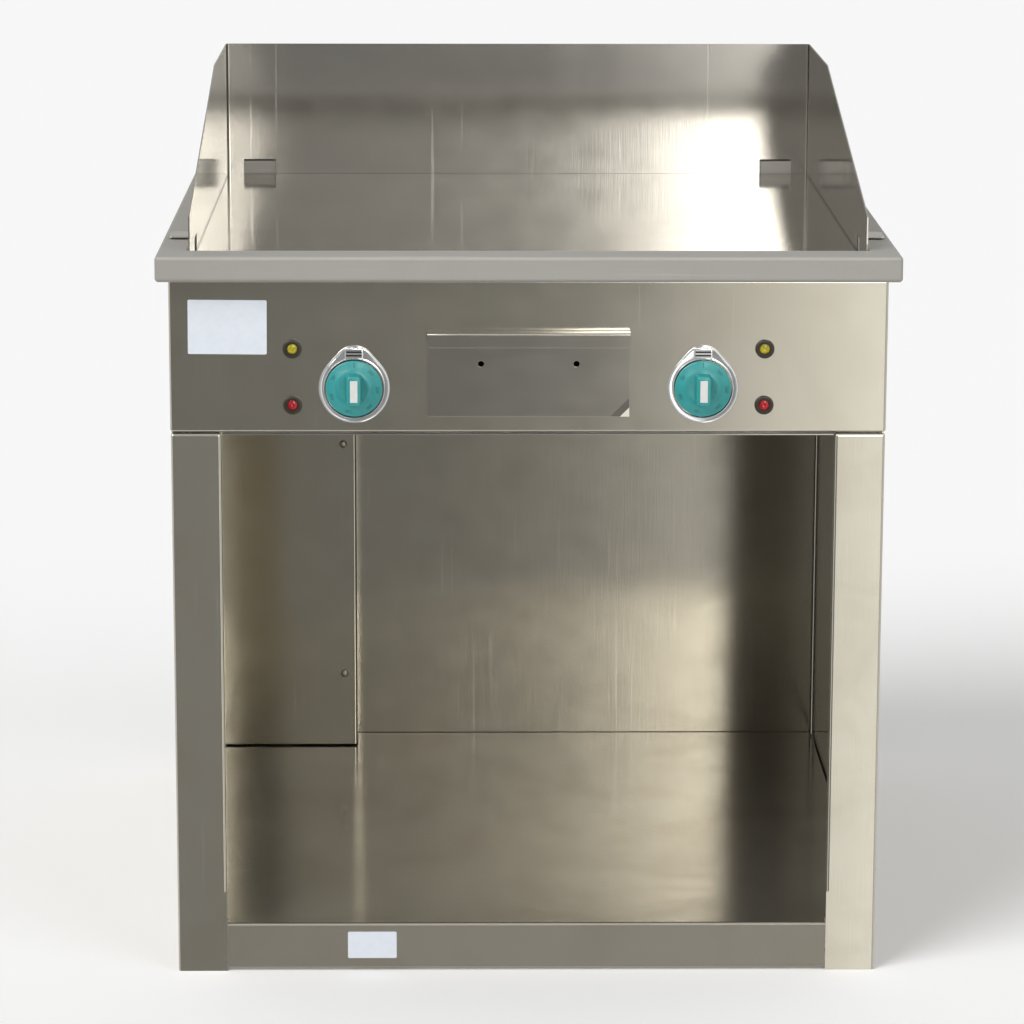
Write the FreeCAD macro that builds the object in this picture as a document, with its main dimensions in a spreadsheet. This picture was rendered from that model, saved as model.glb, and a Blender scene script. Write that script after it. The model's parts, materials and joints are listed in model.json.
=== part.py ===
"""Free-standing electric flat top griddle on an open base, with a lift-off splash guard.

Millimetres. X runs across the front, Y from the front to the back and Z up. The origin lies on
the floor under the middle of the worktop.
"""
import FreeCAD, Part
import Sketcher
import math
import os
import re

DRIVING_SIZES = {
    # Worktop and the recess that holds the griddle plate
    "worktop_width": 800,
    "worktop_depth": 850,
    "worktop_height": 804,
    "apron_height": 28,
    "worktop_sheet": 2,
    "worktop_bend": 4,
    "worktop_lip": 24,
    "front_lip": 37,
    "rear_lip": 28,
    "front_rim": 46,
    "rear_rim": 33,
    "recess_width": 734,
    "recess_depth": 16.5,
    "recess_corner": 2,
    "recess_edge_round": 2.5,
    "plate_thickness": 15,
    "plate_overlap": 4,
    "drain_radius": 25,
    "drain_setback": 80,
    "chute_wall": 2,
    "chute_length": 82,
    # Cabinet of folded sheet
    "sheet": 1.2,
    "bend": 3,
    "wide_bend": 4,
    "gap": 0.3,
    "cabinet_width": 773,
    "panel_setback": 19.5,
    "wall_setback": 7,
    "back_setback": 22,
    "back_flange": 15,
    "back_clearance": 4,
    "leg_width": 54.5,
    "leg_clearance": 4.5,
    "leg_top": 607.9,
    "leg_return": 15,
    "leg_return_start": 91,
    "top_flange": 12,
    "floor_height": 55,
    "floor_skirt": 25,
    "rail_start": 3.3,
    "ceiling_height": 607.2,
    "beam_setback": 16.5,
    "beam_depth": 30,
    "beam_height": 24.2,
    "rear_beam_place": -90,
    "panel_width": 774,
    "panel_start": 609.7,
    "panel_return": 15,
    # Service channel at the back left
    "channel_width": 182,
    "channel_front": 338,
    "channel_start": 57.4,
    "channel_top": 604,
    "cover_screw_inset": 16.4,
    "cover_screw_low": 151,
    "cover_screw_high": 450,
    "gland_place": -300,
    "gland_height": 110,
    "gland_thread_radius": 12,
    "gland_bore_radius": 6.5,
    "gland_dome_length": 13,
    "earth_stud_place": -345,
    "earth_stud_height": 70,
    "earth_stud_radius": 3,
    "terminal_place": -310,
    "terminal_height": 300,
    "terminal_length": 60,
    "terminal_pitch": 12,
    # Feet and worktop screws
    "gusset_size": 50,
    "gusset_height": 5,
    "gusset_sheet": 3,
    "bush_radius": 9,
    "bush_length": 12,
    "thread_radius": 4.25,
    "worktop_screw_inset": 7,
    "worktop_screw_pitch": 300,
    "worktop_screw_head": 3.5,
    # Grease drawer
    "drawer_width": 218,
    "drawer_sheet": 1.5,
    "drawer_low": 627,
    "drawer_high": 721,
    "grip_reach": 18,
    "grip_drop": 16,
    "pan_width": 202,
    "pan_length": 354,
    "pan_low": 633,
    "pan_high": 680,
    "front_hole_spacing": 103,
    "front_hole_radius": 3.3,
    "front_hole_height": 685,
    "runner_ledge": 11,
    # Controls
    "knob_place": 188,
    "knob_height": 658.5,
    "skirt_radius": 30.5,
    "hub_radius": 19,
    "grip_width": 17,
    "knob_reach": 25,
    "insert_width": 8,
    "insert_height": 23.7,
    "shaft_radius": 3,
    "running_clearance": 0.05,
    "neck_radius": 5.2,
    "bezel_radius": 38.5,
    "bezel_bore": 31.5,
    "bezel_rise": 46.5,
    "bezel_crown_radius": 18,
    "bezel_sheet": 3,
    "bezel_lip": 6,
    "thermostat_size": 44,
    "lamp_place": 254.5,
    "lamp_high": 701,
    "lamp_low": 639.6,
    "lamp_bezel_radius": 10.5,
    "lamp_body_radius": 6,
    "lens_radius": 5.5,
    # Heating
    "element_radius": 4.25,
    "element_pitch": 52,
    "element_inner": 44,
    "element_front": -340,
    "element_rear": 350,
    "element_bend_front": -290,
    "clamp_width": 25,
    "clamp_thickness": 3,
    "clamp_pitch": 260,
    "stud_radius": 4,
    "bulb_radius": 3,
    "capillary_radius": 1,
    "blanket_low": 728,
    "blanket_high": 752,
    "tray_top": 757,
    "tray_half_width": 366,
    "tray_front": -312,
    "tray_rear": 380,
    # Small parts of the controls, the heating and the connection
    "drawer_gap": 0.5,
    "skirt_back": 2.5,
    "skirt_front": 7.5,
    "hub_front": 10,
    "hub_dish": 2,
    "grip_foot": 6,
    "grip_setback": 2,
    "insert_thickness": 0.6,
    "shaft_front": 18,
    "shaft_rear": 12,
    "thermostat_gap": 2,
    "thermostat_depth": 34,
    "lamp_bezel_height": 3,
    "lamp_body_length": 30,
    "lens_height": 1.6,
    "gland_flange_height": 5,
    "gland_flange_radius": 15,
    "gland_inside": 12,
    "locknut_radius": 15.5,
    "locknut_height": 5,
    "earth_stud_inside": 10,
    "earth_stud_outside": 16,
    "earth_head_height": 4,
    "earth_nut_radius": 5.5,
    "earth_nut_height": 5,
    "terminal_depth": 24,
    "terminal_rise": 35,
    "terminal_well_radius": 3,
    "worktop_screw_height": 3,
    "clamp_middle": 30,
    "clamp_end": 15,
    "stud_below": 8,
    "nut_radius": 6.5,
    "nut_height": 6,
    "bulb_front": -290,
    "bulb_length": 90,
    "capillary_bend": 12,
    "capillary_behind": 33,
    "switch_place": -60,
    "switch_radius": 8,
    "switch_can_height": 9,
    "switch_height": 16,
    "tray_angle": 20,
    "tray_angle_inset": 30,
    # Splash guard
    "guard_sheet": 1.5,
    "guard_bend": 4,
    "guard_width": 732.4,
    "guard_rear": 391.5,
    "guard_front": -378,
    "guard_height": 163.4,
    "guard_front_height": 52.5,
    "guard_slope_start": 135,
    "tab_width": 40,
    "tab_height": 17.6,
    "tab_reach": 28,
    "tab_rest": 0.6,
    "guard_rest": 0.1,
    "rear_tab_place": 325,
    "side_tab_place": -279,
}
PARTS_FOLDER = "parts"
DOC = FreeCAD.newDocument("flat_top_griddle")
SUB_PARTS = []

# Recurring places, as expressions of the driving sizes
FRONT = "-worktop_depth/2+panel_setback"
REAR = "worktop_depth/2-wall_setback"
BACK = "worktop_depth/2-back_setback"
HALF = "cabinet_width/2"
UNDER = "worktop_height-apron_height"
PLATE_TOP = "worktop_height-recess_depth"
PLATE_LOW = "worktop_height-recess_depth-plate_thickness"
RECESS_FRONT = "-worktop_depth/2+front_rim"
RECESS_REAR = "worktop_depth/2-rear_rim"
DRAIN_Y = "-worktop_depth/2+drain_setback"
BEHIND_LEGS = FRONT + "+leg_return+leg_clearance"
STUD_INNER = "element_inner+element_pitch/2"
STUD_OUTER = "element_inner+element_pitch*4.5"
BETWEEN_WALLS = (f"-({HALF}-sheet-gap*2)", f"{HALF}-sheet-gap*2")


def write_sheet():
    """Puts the driving sizes in the document's spreadsheet."""
    sheet = DOC.addObject("Spreadsheet::Sheet", "Sizes")
    for row, (alias, number) in enumerate(DRIVING_SIZES.items(), 1):
        sheet.set(f"A{row}", alias.replace("_", " "))
        sheet.set(f"B{row}", str(number))
        sheet.setAlias(f"B{row}", alias)
    DOC.recompute()


def bound(words):
    """An expression with each of its words read from the spreadsheet."""
    return re.sub(r"[a-z][a-z_]*", lambda word: "Sizes." + word.group(0), words)


def measure(words):
    """The number that an expression comes to, worked out in a spare cell."""
    DOC.Sizes.set("D1", "=" + words)
    DOC.Sizes.recompute()
    return float(DOC.Sizes.get("D1"))


def named(piece, label):
    """Marks a finished piece as a sub-part and gives it its name."""
    piece.Label = label
    SUB_PARTS.append(piece)
    return piece


def place(thing, x="0", y="0", z="0"):
    for axis, words in (("x", x), ("y", y), ("z", z)):
        thing.setExpression(f"Placement.Base.{axis}", bound(words))


def across(half):
    """The range from one side to the other of the middle plane."""
    return f"-({half})", half


def block(name, x, y, z):
    """A box between two places along each axis."""
    box = DOC.addObject("Part::Box", name)
    for side, (low, high) in (("Length", x), ("Width", y), ("Height", z)):
        box.setExpression(side, bound(f"({high})-({low})"))
    place(box, x[0], y[0], z[0])
    return box


def rod(name, axis, radius, along, x="0", y="0", z="0"):
    """A round bar along one axis, between two places on it."""
    bar = DOC.addObject("Part::Cylinder", name)
    bar.setExpression("Radius", bound(radius))
    bar.setExpression("Height", bound(f"({along[1]})-({along[0]})"))
    turns = {"X": ((0, 1, 0), 90), "Y": ((1, 0, 0), -90), "Z": ((0, 0, 1), 0)}
    about, angle = turns[axis]
    bar.Placement = FreeCAD.Placement(FreeCAD.Vector(), FreeCAD.Rotation(FreeCAD.Vector(*about), angle))
    centre = {"X": x, "Y": y, "Z": z}
    centre[axis] = along[0]
    place(bar, centre["X"], centre["Y"], centre["Z"])
    return bar


def join(name, *pieces):
    whole = DOC.addObject("Part::MultiFuse", name)
    whole.Shapes = list(pieces)
    whole.Refine = True
    return whole


def cut(name, base, *tools):
    """The base with every tool taken away."""
    result = DOC.addObject("Part::Cut", name)
    result.Base = base
    result.Tool = tools[0] if len(tools) == 1 else join(name + "_tools", *tools)
    result.Refine = True
    return result


def group(name, pieces):
    """Like pieces as one object of separate solids."""
    together = DOC.addObject("Part::Compound", name)
    together.Links = pieces
    return together


def mirrored(name, piece):
    """The same piece for the other side of the griddle."""
    other = DOC.addObject("Part::Mirroring", name)
    other.Source = piece
    other.Base = (0, 0, 0)
    other.Normal = (1, 0, 0)
    return other


def soften(name, piece, radius, chosen):
    """Rounds the edges that the test picks by their two ends."""
    DOC.recompute()
    rounds = DOC.addObject("Part::Fillet", name)
    rounds.Base = piece
    picked = []
    for number, edge in enumerate(piece.Shape.Edges, 1):
        if chosen([vertex.Point for vertex in edge.Vertexes]):
            picked.append((number, radius, radius))
    rounds.Edges = picked
    return rounds


def bent(name, box, open_sides, radius):
    """Rounds a box along the edges where two closed sides meet."""
    DOC.recompute()
    around = box.Shape.BoundBox
    sides = {
        "-x": (0, around.XMin),
        "+x": (0, around.XMax),
        "-y": (1, around.YMin),
        "+y": (1, around.YMax),
        "-z": (2, around.ZMin),
        "+z": (2, around.ZMax),
    }

    def closed(ends):
        for side in open_sides:
            axis, place_on_axis = sides[side]
            if all(abs(end[axis] - place_on_axis) < 1e-6 for end in ends):
                return False
        return True

    return soften(name, box, radius, closed)


def folded(name, x, y, z, open_sides, radius="bend", wall="sheet"):
    """A hollow shell of folded sheet, with no wall on its open sides."""
    edges = {"-x": x[0], "+x": x[1], "-y": y[0], "+y": y[1], "-z": z[0], "+z": z[1]}
    inner = {}
    for side, words in edges.items():
        outwards, inwards = ("+", "-") if side[0] == "+" else ("-", "+")
        inner[side] = words + (outwards + "1" if side in open_sides else inwards + wall)
    outer_box = block(name + "_outside", x, y, z)
    inner_box = block(
        name + "_inside",
        (inner["-x"], inner["+x"]),
        (inner["-y"], inner["+y"]),
        (inner["-z"], inner["+z"]),
    )
    outer = bent(name + "_outer_bends", outer_box, open_sides, measure(radius))
    inner_bends = bent(name + "_inner_bends", inner_box, open_sides, measure(f"{radius}-{wall}"))
    return cut(name, outer, inner_bends)


def new_body(name):
    return DOC.addObject("PartDesign::Body", name)


def sketch_on(body, name, role, offset=0):
    """An empty sketch on one of a body's own planes."""
    sketch = body.newObject("Sketcher::SketchObject", name)
    plane = [feature for feature in body.Origin.OriginFeatures if feature.Role == role][0]
    sketch.AttachmentSupport = [(plane, "")]
    sketch.MapMode = "FlatFace"
    sketch.AttachmentOffset = FreeCAD.Placement(FreeCAD.Vector(0, 0, offset), FreeCAD.Rotation())
    return sketch


def draw_outline(sketch, corners):
    """A closed outline of straight lines, each corner held by expressions of the driving sizes."""
    first = sketch.GeometryCount
    places = [(measure(across), measure(up)) for across, up in corners]
    for here, there in zip(places, places[1:] + places[:1]):
        sketch.addGeometry(Part.LineSegment(FreeCAD.Vector(*here, 0), FreeCAD.Vector(*there, 0)))
    count = len(corners)
    for step in range(count):
        line = first + step
        following = first + (step + 1) % count
        sketch.addConstraint(Sketcher.Constraint("Coincident", line, 2, following, 1))
    for step, (across, up) in enumerate(corners):
        x, y = places[step]
        for kind, words, number in (("DistanceX", across, x), ("DistanceY", up, y)):
            held = sketch.addConstraint(Sketcher.Constraint(kind, -1, 1, first + step, 1, number))
            sketch.setExpression(f"Constraints[{held}]", bound(words))


def draw_rectangle(sketch, low_and_high, bottom_and_top):
    low, high = low_and_high
    bottom, top = bottom_and_top
    draw_outline(sketch, [(low, bottom), (high, bottom), (high, top), (low, top)])


def draw_circle(sketch, across, up, radius):
    """A circle whose centre and radius are held by expressions of the driving sizes."""
    middle = (measure(across), measure(up))
    curve = Part.Circle(FreeCAD.Vector(*middle, 0), FreeCAD.Vector(0, 0, 1), measure(radius))
    circle = sketch.addGeometry(curve)
    held = sketch.addConstraint(Sketcher.Constraint("Radius", circle, measure(radius)))
    sketch.setExpression(f"Constraints[{held}]", bound(radius))
    for kind, words, number in (("DistanceX", across, middle[0]), ("DistanceY", up, middle[1])):
        held = sketch.addConstraint(Sketcher.Constraint(kind, -1, 1, circle, 3, number))
        sketch.setExpression(f"Constraints[{held}]", bound(words))


def pad(body, name, sketch, length, both_ways=False):
    feature = body.newObject("PartDesign::Pad", name)
    feature.Profile = sketch
    feature.setExpression("Length", bound(length))
    feature.SideType = "Symmetric" if both_ways else "One side"
    return feature


def pocket(body, name, sketch, length):
    """Cuts a profile half its length each way from its plane, and checks that it cut something."""
    DOC.recompute()
    before = body.Shape.Volume
    feature = body.newObject("PartDesign::Pocket", name)
    feature.Profile = sketch
    feature.setExpression("Length", bound(length))
    feature.SideType = "Symmetric"
    DOC.recompute()
    if body.Shape.Volume > before - 1e-6:
        raise RuntimeError(f"{name} cuts nothing")
    return feature


def revolve(body, name, sketch):
    feature = body.newObject("PartDesign::Revolution", name)
    feature.Profile = sketch
    feature.ReferenceAxis = (sketch, ["V_Axis"])
    feature.Angle = 360
    return feature


def round_edges(body, name, radius, chosen):
    """Fillets the body's edges that the test picks by their two ends."""
    DOC.recompute()
    base = body.Tip
    picked = []
    for number, edge in enumerate(base.Shape.Edges, 1):
        if chosen([vertex.Point for vertex in edge.Vertexes]):
            picked.append(f"Edge{number}")
    feature = body.newObject("PartDesign::Fillet", name)
    feature.Base = (base, picked)
    feature.setExpression("Radius", bound(radius))
    return feature


def near(value, words):
    return abs(value - measure(words)) < 1e-4


# Worktop


def worktop_deck():
    """Folded top with a rounded apron, a return lip below it and a recess welded into it."""
    outside = across("worktop_width/2"), across("worktop_depth/2"), (UNDER, "worktop_height")
    shell = folded("deck_shell", *outside, (), "worktop_bend", "worktop_sheet")
    below = block(
        "deck_underside_opening",
        across("worktop_width/2-worktop_lip"),
        ("-worktop_depth/2+front_lip", "worktop_depth/2-rear_lip"),
        (UNDER + "-1", UNDER + "+worktop_sheet+1"),
    )
    collar = block(
        "recess_collar",
        across("recess_width/2+worktop_sheet"),
        (RECESS_FRONT + "-worktop_sheet", RECESS_REAR + "+worktop_sheet"),
        (PLATE_TOP, "worktop_height"),
    )
    recess_box = block(
        "recess_space",
        across("recess_width/2"),
        (RECESS_FRONT, RECESS_REAR),
        (PLATE_TOP + "-5", "worktop_height+5"),
    )
    recess = bent("recess_corners", recess_box, ("-z", "+z"), measure("recess_corner"))
    open_shell = cut("deck_open_below", shell, below)
    solid = join("deck_with_collar", open_shell, collar)
    hollow = cut("deck_hollow", solid, recess)
    side = measure("recess_width/2")
    front = measure(RECESS_FRONT)
    top = measure("worktop_height")

    def around_recess(ends):
        on_top = all(abs(end.z - top) < 1e-4 for end in ends)
        return on_top and all(abs(end.x) < side + 0.01 and end.y > front - 0.01 for end in ends)

    edge_round = measure("recess_edge_round")
    named(soften("deck_recess_bend", hollow, edge_round, around_recess), "worktop_deck")


def griddle_plate():
    """Thick steel plate with a drain hole at the front, where the recess hides it."""
    body = new_body("griddle_plate_body")
    outline = sketch_on(body, "plate_outline", "XY_Plane")
    left, right = across("recess_width/2+plate_overlap")
    front_and_rear = (RECESS_FRONT + "-plate_overlap", RECESS_REAR + "+plate_overlap-1")
    draw_rectangle(outline, (left, right), front_and_rear)
    pad(body, "plate_steel", outline, "plate_thickness")
    drain = sketch_on(body, "drain_hole", "XY_Plane")
    draw_circle(drain, "0", DRAIN_Y, "drain_radius")
    pocket(body, "drain", drain, "plate_thickness*4")
    place(body, z=PLATE_LOW)
    named(body, "griddle_plate")


def drain_chute():
    """Tube welded under the drain hole, which ends above the grease drawer."""
    along = (PLATE_LOW + "-chute_length", PLATE_LOW)
    outer = rod("chute_outside", "Z", "drain_radius+chute_wall", along, y=DRAIN_Y)
    inner = rod("chute_bore", "Z", "drain_radius", (along[0] + "-1", along[1] + "+1"), y=DRAIN_Y)
    named(cut("chute", outer, inner), "drain_chute")


# Cabinet


def side_panels():
    """Side wall, leg face, leg return and top flange, folded from one sheet."""
    inner_edge = HALF + "-leg_width"
    leg = folded("leg", (inner_edge, HALF), (FRONT, REAR), ("0", "leg_top"), ("-z", "+y"))
    behind_leg = block(
        "space_behind_leg",
        (inner_edge + "-1", HALF + "-sheet"),
        (FRONT + "+leg_return", REAR + "+1"),
        ("-1", "leg_top+1"),
    )
    below_return = block(
        "space_below_return",
        (inner_edge + "-1", inner_edge + "+bend+1"),
        (FRONT + "+sheet", FRONT + "+leg_return+1"),
        ("-1", "leg_return_start"),
    )
    flat_edge = block(
        "flat_leg_edge",
        (inner_edge, inner_edge + "+bend+1"),
        (FRONT, FRONT + "+sheet"),
        ("0", "leg_return_start"),
    )
    upper = folded(
        "upper_wall",
        (HALF + "-top_flange", HALF),
        (FRONT + "+panel_return+1", REAR),
        ("leg_top-bend*2", UNDER),
        ("-x", "-z", "-y", "+y"),
    )
    trimmed = cut("leg_trimmed", leg, behind_leg, below_return)
    right = join("right_side", trimmed, flat_edge, upper)
    named(right, "right_side_panel")
    named(mirrored("left_side", right), "left_side_panel")


def back_panel():
    """Back wall with its edges folded to the rear, holed for the cable gland and the earth stud."""
    shell = folded(
        "back_shell",
        BETWEEN_WALLS,
        (BACK, BACK + "+back_flange"),
        ("back_clearance", UNDER + "-sheet-bend"),
        ("+y", "-z", "+z"),
        "wide_bend",
    )
    along = (BACK + "-1", BACK + "+sheet+1")
    gland = rod("gland_hole", "Y", "gland_thread_radius+0.5", along, x="gland_place", z="gland_height")
    stud = rod("stud_hole", "Y", "earth_stud_radius+0.1", along, x="earth_stud_place", z="earth_stud_height")
    named(cut("back", shell, gland, stud), "back_panel")


def floor_shelf():
    """Floor with a skirt round it, drawn forward between the legs and folded down as a rail."""
    floor = folded(
        "floor",
        BETWEEN_WALLS,
        (BEHIND_LEGS, BACK + "-gap"),
        ("floor_height-floor_skirt", "floor_height"),
        ("-z", "-y"),
    )
    rail = folded(
        "rail",
        across(HALF + "-leg_width-gap*2"),
        (FRONT, BEHIND_LEGS + "+gap"),
        ("rail_start", "floor_height"),
        ("+y", "-x", "+x"),
    )
    named(join("floor_and_rail", floor, rail), "floor_shelf")


def compartment_ceiling():
    """Flat sheet over the storage space, notched for the leg folds and for the service channel."""
    z = ("ceiling_height-sheet", "ceiling_height")
    sheet = block("ceiling_sheet", BETWEEN_WALLS, (BEHIND_LEGS, BACK + "-gap"), z)
    between_legs = across(HALF + "-leg_width-gap*4")
    tongue = block("ceiling_tongue", between_legs, (FRONT + "+sheet*2", BEHIND_LEGS), z)
    notch = block(
        "cable_notch",
        ("-" + HALF + "+10", "-" + HALF + "+channel_width-12"),
        ("channel_front+10", BACK + "-10"),
        (z[0] + "-1", z[1] + "+1"),
    )
    named(cut("ceiling", join("ceiling_plain", sheet, tongue), notch), "compartment_ceiling")


def cross_beams():
    """Two top-hat beams across the cabinet that carry the drawer runners."""
    z = ("ceiling_height", "ceiling_height+beam_height")
    starts = (("front_cross_beam", FRONT + "+beam_setback"), ("rear_cross_beam", "rear_beam_place"))
    for label, start in starts:
        y = (start, start + "+beam_depth")
        named(folded(label + "_sheet", BETWEEN_WALLS, y, z, ("-z", "-x", "+x"), "bend-1"), label)


def control_panel():
    """Fascia pan with bent edges, cut out for the drawer, the knob shafts and the lamps."""
    shell = folded(
        "fascia",
        across("panel_width/2"),
        (FRONT, FRONT + "+panel_return"),
        ("panel_start", UNDER),
        ("+y",),
    )
    through = (FRONT + "-1", FRONT + "+sheet+1")
    cuts = [
        block(
            "drawer_cutout",
            across("pan_width/2+2"),
            through,
            ("pan_low-1.5", "drawer_high-8"),
        )
    ]
    for side, sign in (("left", "-"), ("right", "")):
        at = {"x": sign + "knob_place", "z": "knob_height"}
        shaft = rod(side + "_shaft_hole", "Y", "neck_radius+gap", through, **at)
        cuts.append(shaft)
        for level in ("lamp_high", "lamp_low"):
            name = f"{side}_{level}_hole"
            cuts.append(rod(name, "Y", "lamp_body_radius+0.2", through, x=sign + "lamp_place", z=level))
    named(cut("fascia_cut", shell, *cuts), "control_panel")


def service_channel():
    """Screwed cover over the cable channel, with the folded bracket that its screws reach."""
    edge = "-" + HALF + "+channel_width"
    cover = folded(
        "channel_cover",
        (BETWEEN_WALLS[0], edge),
        ("channel_front", BACK + "-gap"),
        ("channel_start", "channel_top"),
        ("-x", "+y", "-z", "+z"),
    )
    bracket = folded(
        "channel_bracket",
        (edge + "-36", edge + "-bend"),
        ("channel_front+sheet", BACK + "-gap"),
        ("cover_screw_low-60", "cover_screw_high+60"),
        ("+x", "+y", "-z", "+z"),
        "bend-1",
    )
    screw_x = edge + "-cover_screw_inset"
    holes = []
    screws = []
    for level in ("cover_screw_low", "cover_screw_high"):
        along = ("channel_front-1", "channel_front+sheet*2+1")
        holes.append(rod(level + "_hole", "Y", "2", along, x=screw_x, z=level))
        screws.append(round_head_screw(level, screw_x, "channel_front", level))
    cover_holes = join("cover_holes", *holes)
    named(cut("cover_drilled", cover, cover_holes), "service_cover")
    named(cut("bracket_drilled", bracket, cover_holes), "service_cover_bracket")
    named(group("cover_screws", screws), "service_cover_screws")


def round_head_screw(name, x, y, z):
    """Round-head screw that stands on a face towards the front, its shank running back."""
    body = new_body(name + "_screw")
    profile = sketch_on(body, name + "_profile", "XY_Plane")
    head = [("0", "-2.6"), ("2.6", "-2.3"), ("4.4", "-1.4"), ("5", "0")]
    shank = [("1.95", "0"), ("1.95", "9"), ("0", "9")]
    draw_outline(profile, head + shank)
    revolve(body, name + "_turned", profile)
    recess = sketch_on(body, name + "_slot", "XZ_Plane", 2.6)
    draw_rectangle(recess, across("2.2"), across("0.5"))
    pocket(body, name + "_drive", recess, "2.4")
    place(body, x, y, z)
    return body


def terminal_block():
    """Row of screw terminals on the back wall, inside the service channel."""
    base = block(
        "terminal_base",
        ("terminal_place-terminal_length/2", "terminal_place+terminal_length/2"),
        (BACK + "-terminal_depth", BACK),
        ("terminal_height", "terminal_height+terminal_rise"),
    )
    wells = []
    for step in range(-2, 3):
        x = f"terminal_place+terminal_pitch*({step})"
        y = (BACK + "-terminal_depth-1", BACK + "-terminal_depth/2")
        at = {"x": x, "z": "terminal_height+terminal_rise/2"}
        wells.append(rod(f"terminal_well_{step + 3}", "Y", "terminal_well_radius", y, **at))
    named(cut("terminals", base, *wells), "terminal_block")


def cable_gland():
    """Gland through the back wall for the supply cable, with its locknut inside."""
    at = {"x": "gland_place", "z": "gland_height"}
    outer_face = BACK + "+sheet"
    end = outer_face + "+gland_flange_height+gland_dome_length"
    flange_end = outer_face + "+gland_flange_height"
    flange = rod("gland_flange", "Y", "gland_flange_radius", (outer_face, flange_end), **at)
    thread = rod("gland_thread", "Y", "gland_thread_radius", (BACK + "-gland_inside", end), **at)
    bore = rod("gland_bore", "Y", "gland_bore_radius", (BACK + "-gland_inside-1", end + "+1"), **at)
    named(cut("gland", join("gland_solid", flange, thread), bore), "cable_gland")
    nut = rod("locknut_outside", "Y", "locknut_radius", (BACK + "-locknut_height", BACK), **at)
    along = (BACK + "-locknut_height-1", BACK + "+1")
    nut_bore = rod("locknut_bore", "Y", "gland_thread_radius", along, **at)
    named(cut("locknut", nut, nut_bore), "gland_locknut")


def bonding_stud():
    """Earth stud through the back wall, with its head inside and its nut outside."""
    at = {"x": "earth_stud_place", "z": "earth_stud_height"}
    outer_face = BACK + "+sheet"
    along = (BACK + "-earth_stud_inside", outer_face + "+earth_stud_outside")
    shank = rod("stud_shank", "Y", "earth_stud_radius", along, **at)
    head = rod("stud_head", "Y", "earth_stud_radius*2", (BACK + "-earth_head_height", BACK), **at)
    nut = rod("stud_nut", "Y", "earth_nut_radius", (outer_face, outer_face + "+earth_nut_height"), **at)
    named(join("earth_stud", shank, head, nut), "bonding_stud")


def corner_feet():
    """Gusset in each bottom corner with a threaded bush for a levelling foot."""
    gussets = []
    bushes = []
    low = "gusset_height"
    high = "gusset_height+gusset_sheet"
    top = high + "+bush_length"
    middle_x = HALF + "-sheet-gap-gusset_size/2"
    rows = (("front", FRONT + "+bend+gusset_size/2"), ("rear", BACK + "-gap-gusset_size/2"))
    for side, sign in (("left", "-"), ("right", "")):
        for end, y in rows:
            name = f"{side}_{end}"
            x = f"{sign}({middle_x})"
            plate = block(
                name + "_gusset",
                (x + "-gusset_size/2", x + "+gusset_size/2"),
                (y + "-gusset_size/2", y + "+gusset_size/2"),
                (low, high),
            )
            hole = rod(name + "_gusset_hole", "Z", "thread_radius", (low + "-1", high + "+1"), x=x, y=y)
            gussets.append(cut(name + "_gusset_drilled", plate, hole))
            bush = rod(name + "_bush", "Z", "bush_radius", (high, top), x=x, y=y)
            thread = rod(name + "_thread", "Z", "thread_radius", (high + "-1", top + "+1"), x=x, y=y)
            bushes.append(cut(name + "_bush_bored", bush, thread))
    named(group("gussets", gussets), "foot_gussets")
    named(group("bushes", bushes), "foot_bushes")


def worktop_screws():
    """Heads of the screws that hold the worktop's return lip to the cabinet's top flanges."""
    heads = []
    z = (UNDER + "-sheet-worktop_screw_height", UNDER + "-sheet")
    for side, sign in (("left", "-"), ("right", "")):
        x = f"{sign}({HALF}-worktop_screw_inset)"
        for step in (-1, 0, 1):
            y = f"worktop_screw_pitch*({step})"
            heads.append(rod(f"{side}_worktop_screw_{step + 2}", "Z", "worktop_screw_head", z, x=x, y=y))
    named(group("screws_under_worktop", heads), "worktop_screws")


# Grease drawer


def drawer_front():
    """Folded drawer front: a flat plate that turns forward over the top and down as a grip."""
    body = new_body("drawer_front_body")
    profile = sketch_on(body, "drawer_profile", "YZ_Plane")
    rear = FRONT + "-drawer_gap"
    face = rear + "-drawer_sheet"
    tip = rear + "-grip_reach"
    tip_inside = tip + "+drawer_sheet"
    under_grip = "drawer_high-drawer_sheet"
    draw_outline(
        profile,
        [
            (rear, "drawer_low"),
            (rear, "drawer_high"),
            (tip, "drawer_high"),
            (tip, "drawer_high-grip_drop"),
            (tip_inside, "drawer_high-grip_drop"),
            (tip_inside, under_grip),
            (face, under_grip),
            (face, "drawer_low"),
        ],
    )
    pad(body, "drawer_plate", profile, "drawer_width", both_ways=True)
    holes = sketch_on(body, "drawer_front_holes", "XZ_Plane")
    for sign in ("-", ""):
        draw_circle(holes, sign + "front_hole_spacing/2", "front_hole_height", "front_hole_radius")
    pocket(body, "drawer_holes", holes, "worktop_depth*2")

    def along_x(ends):
        return len(ends) == 2 and abs(ends[0].x - ends[1].x) > 1

    def outer_bend(ends):
        places = (measure(rear), measure(tip))
        at_bend = any(abs(ends[0].y - y) < 1e-4 for y in places)
        return along_x(ends) and at_bend and near(ends[0].z, "drawer_high")

    def inner_bend(ends):
        return along_x(ends) and near(ends[0].z, under_grip)

    def corner_at(level):
        """A test for the short edges through the sheet at that height."""

        def chosen(ends):
            through = len(ends) == 2 and abs(ends[0].y - ends[1].y) > 1
            return through and all(near(end.z, level) for end in ends)

        return chosen

    round_edges(body, "drawer_outer_bends", "bend-0.5", outer_bend)
    round_edges(body, "drawer_inner_bends", "bend-2", inner_bend)
    round_edges(body, "grip_corners", "bend*2.6", corner_at("drawer_high-grip_drop"))
    round_edges(body, "plate_corners", "bend", corner_at("drawer_low"))
    named(body, "drawer_front")


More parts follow.
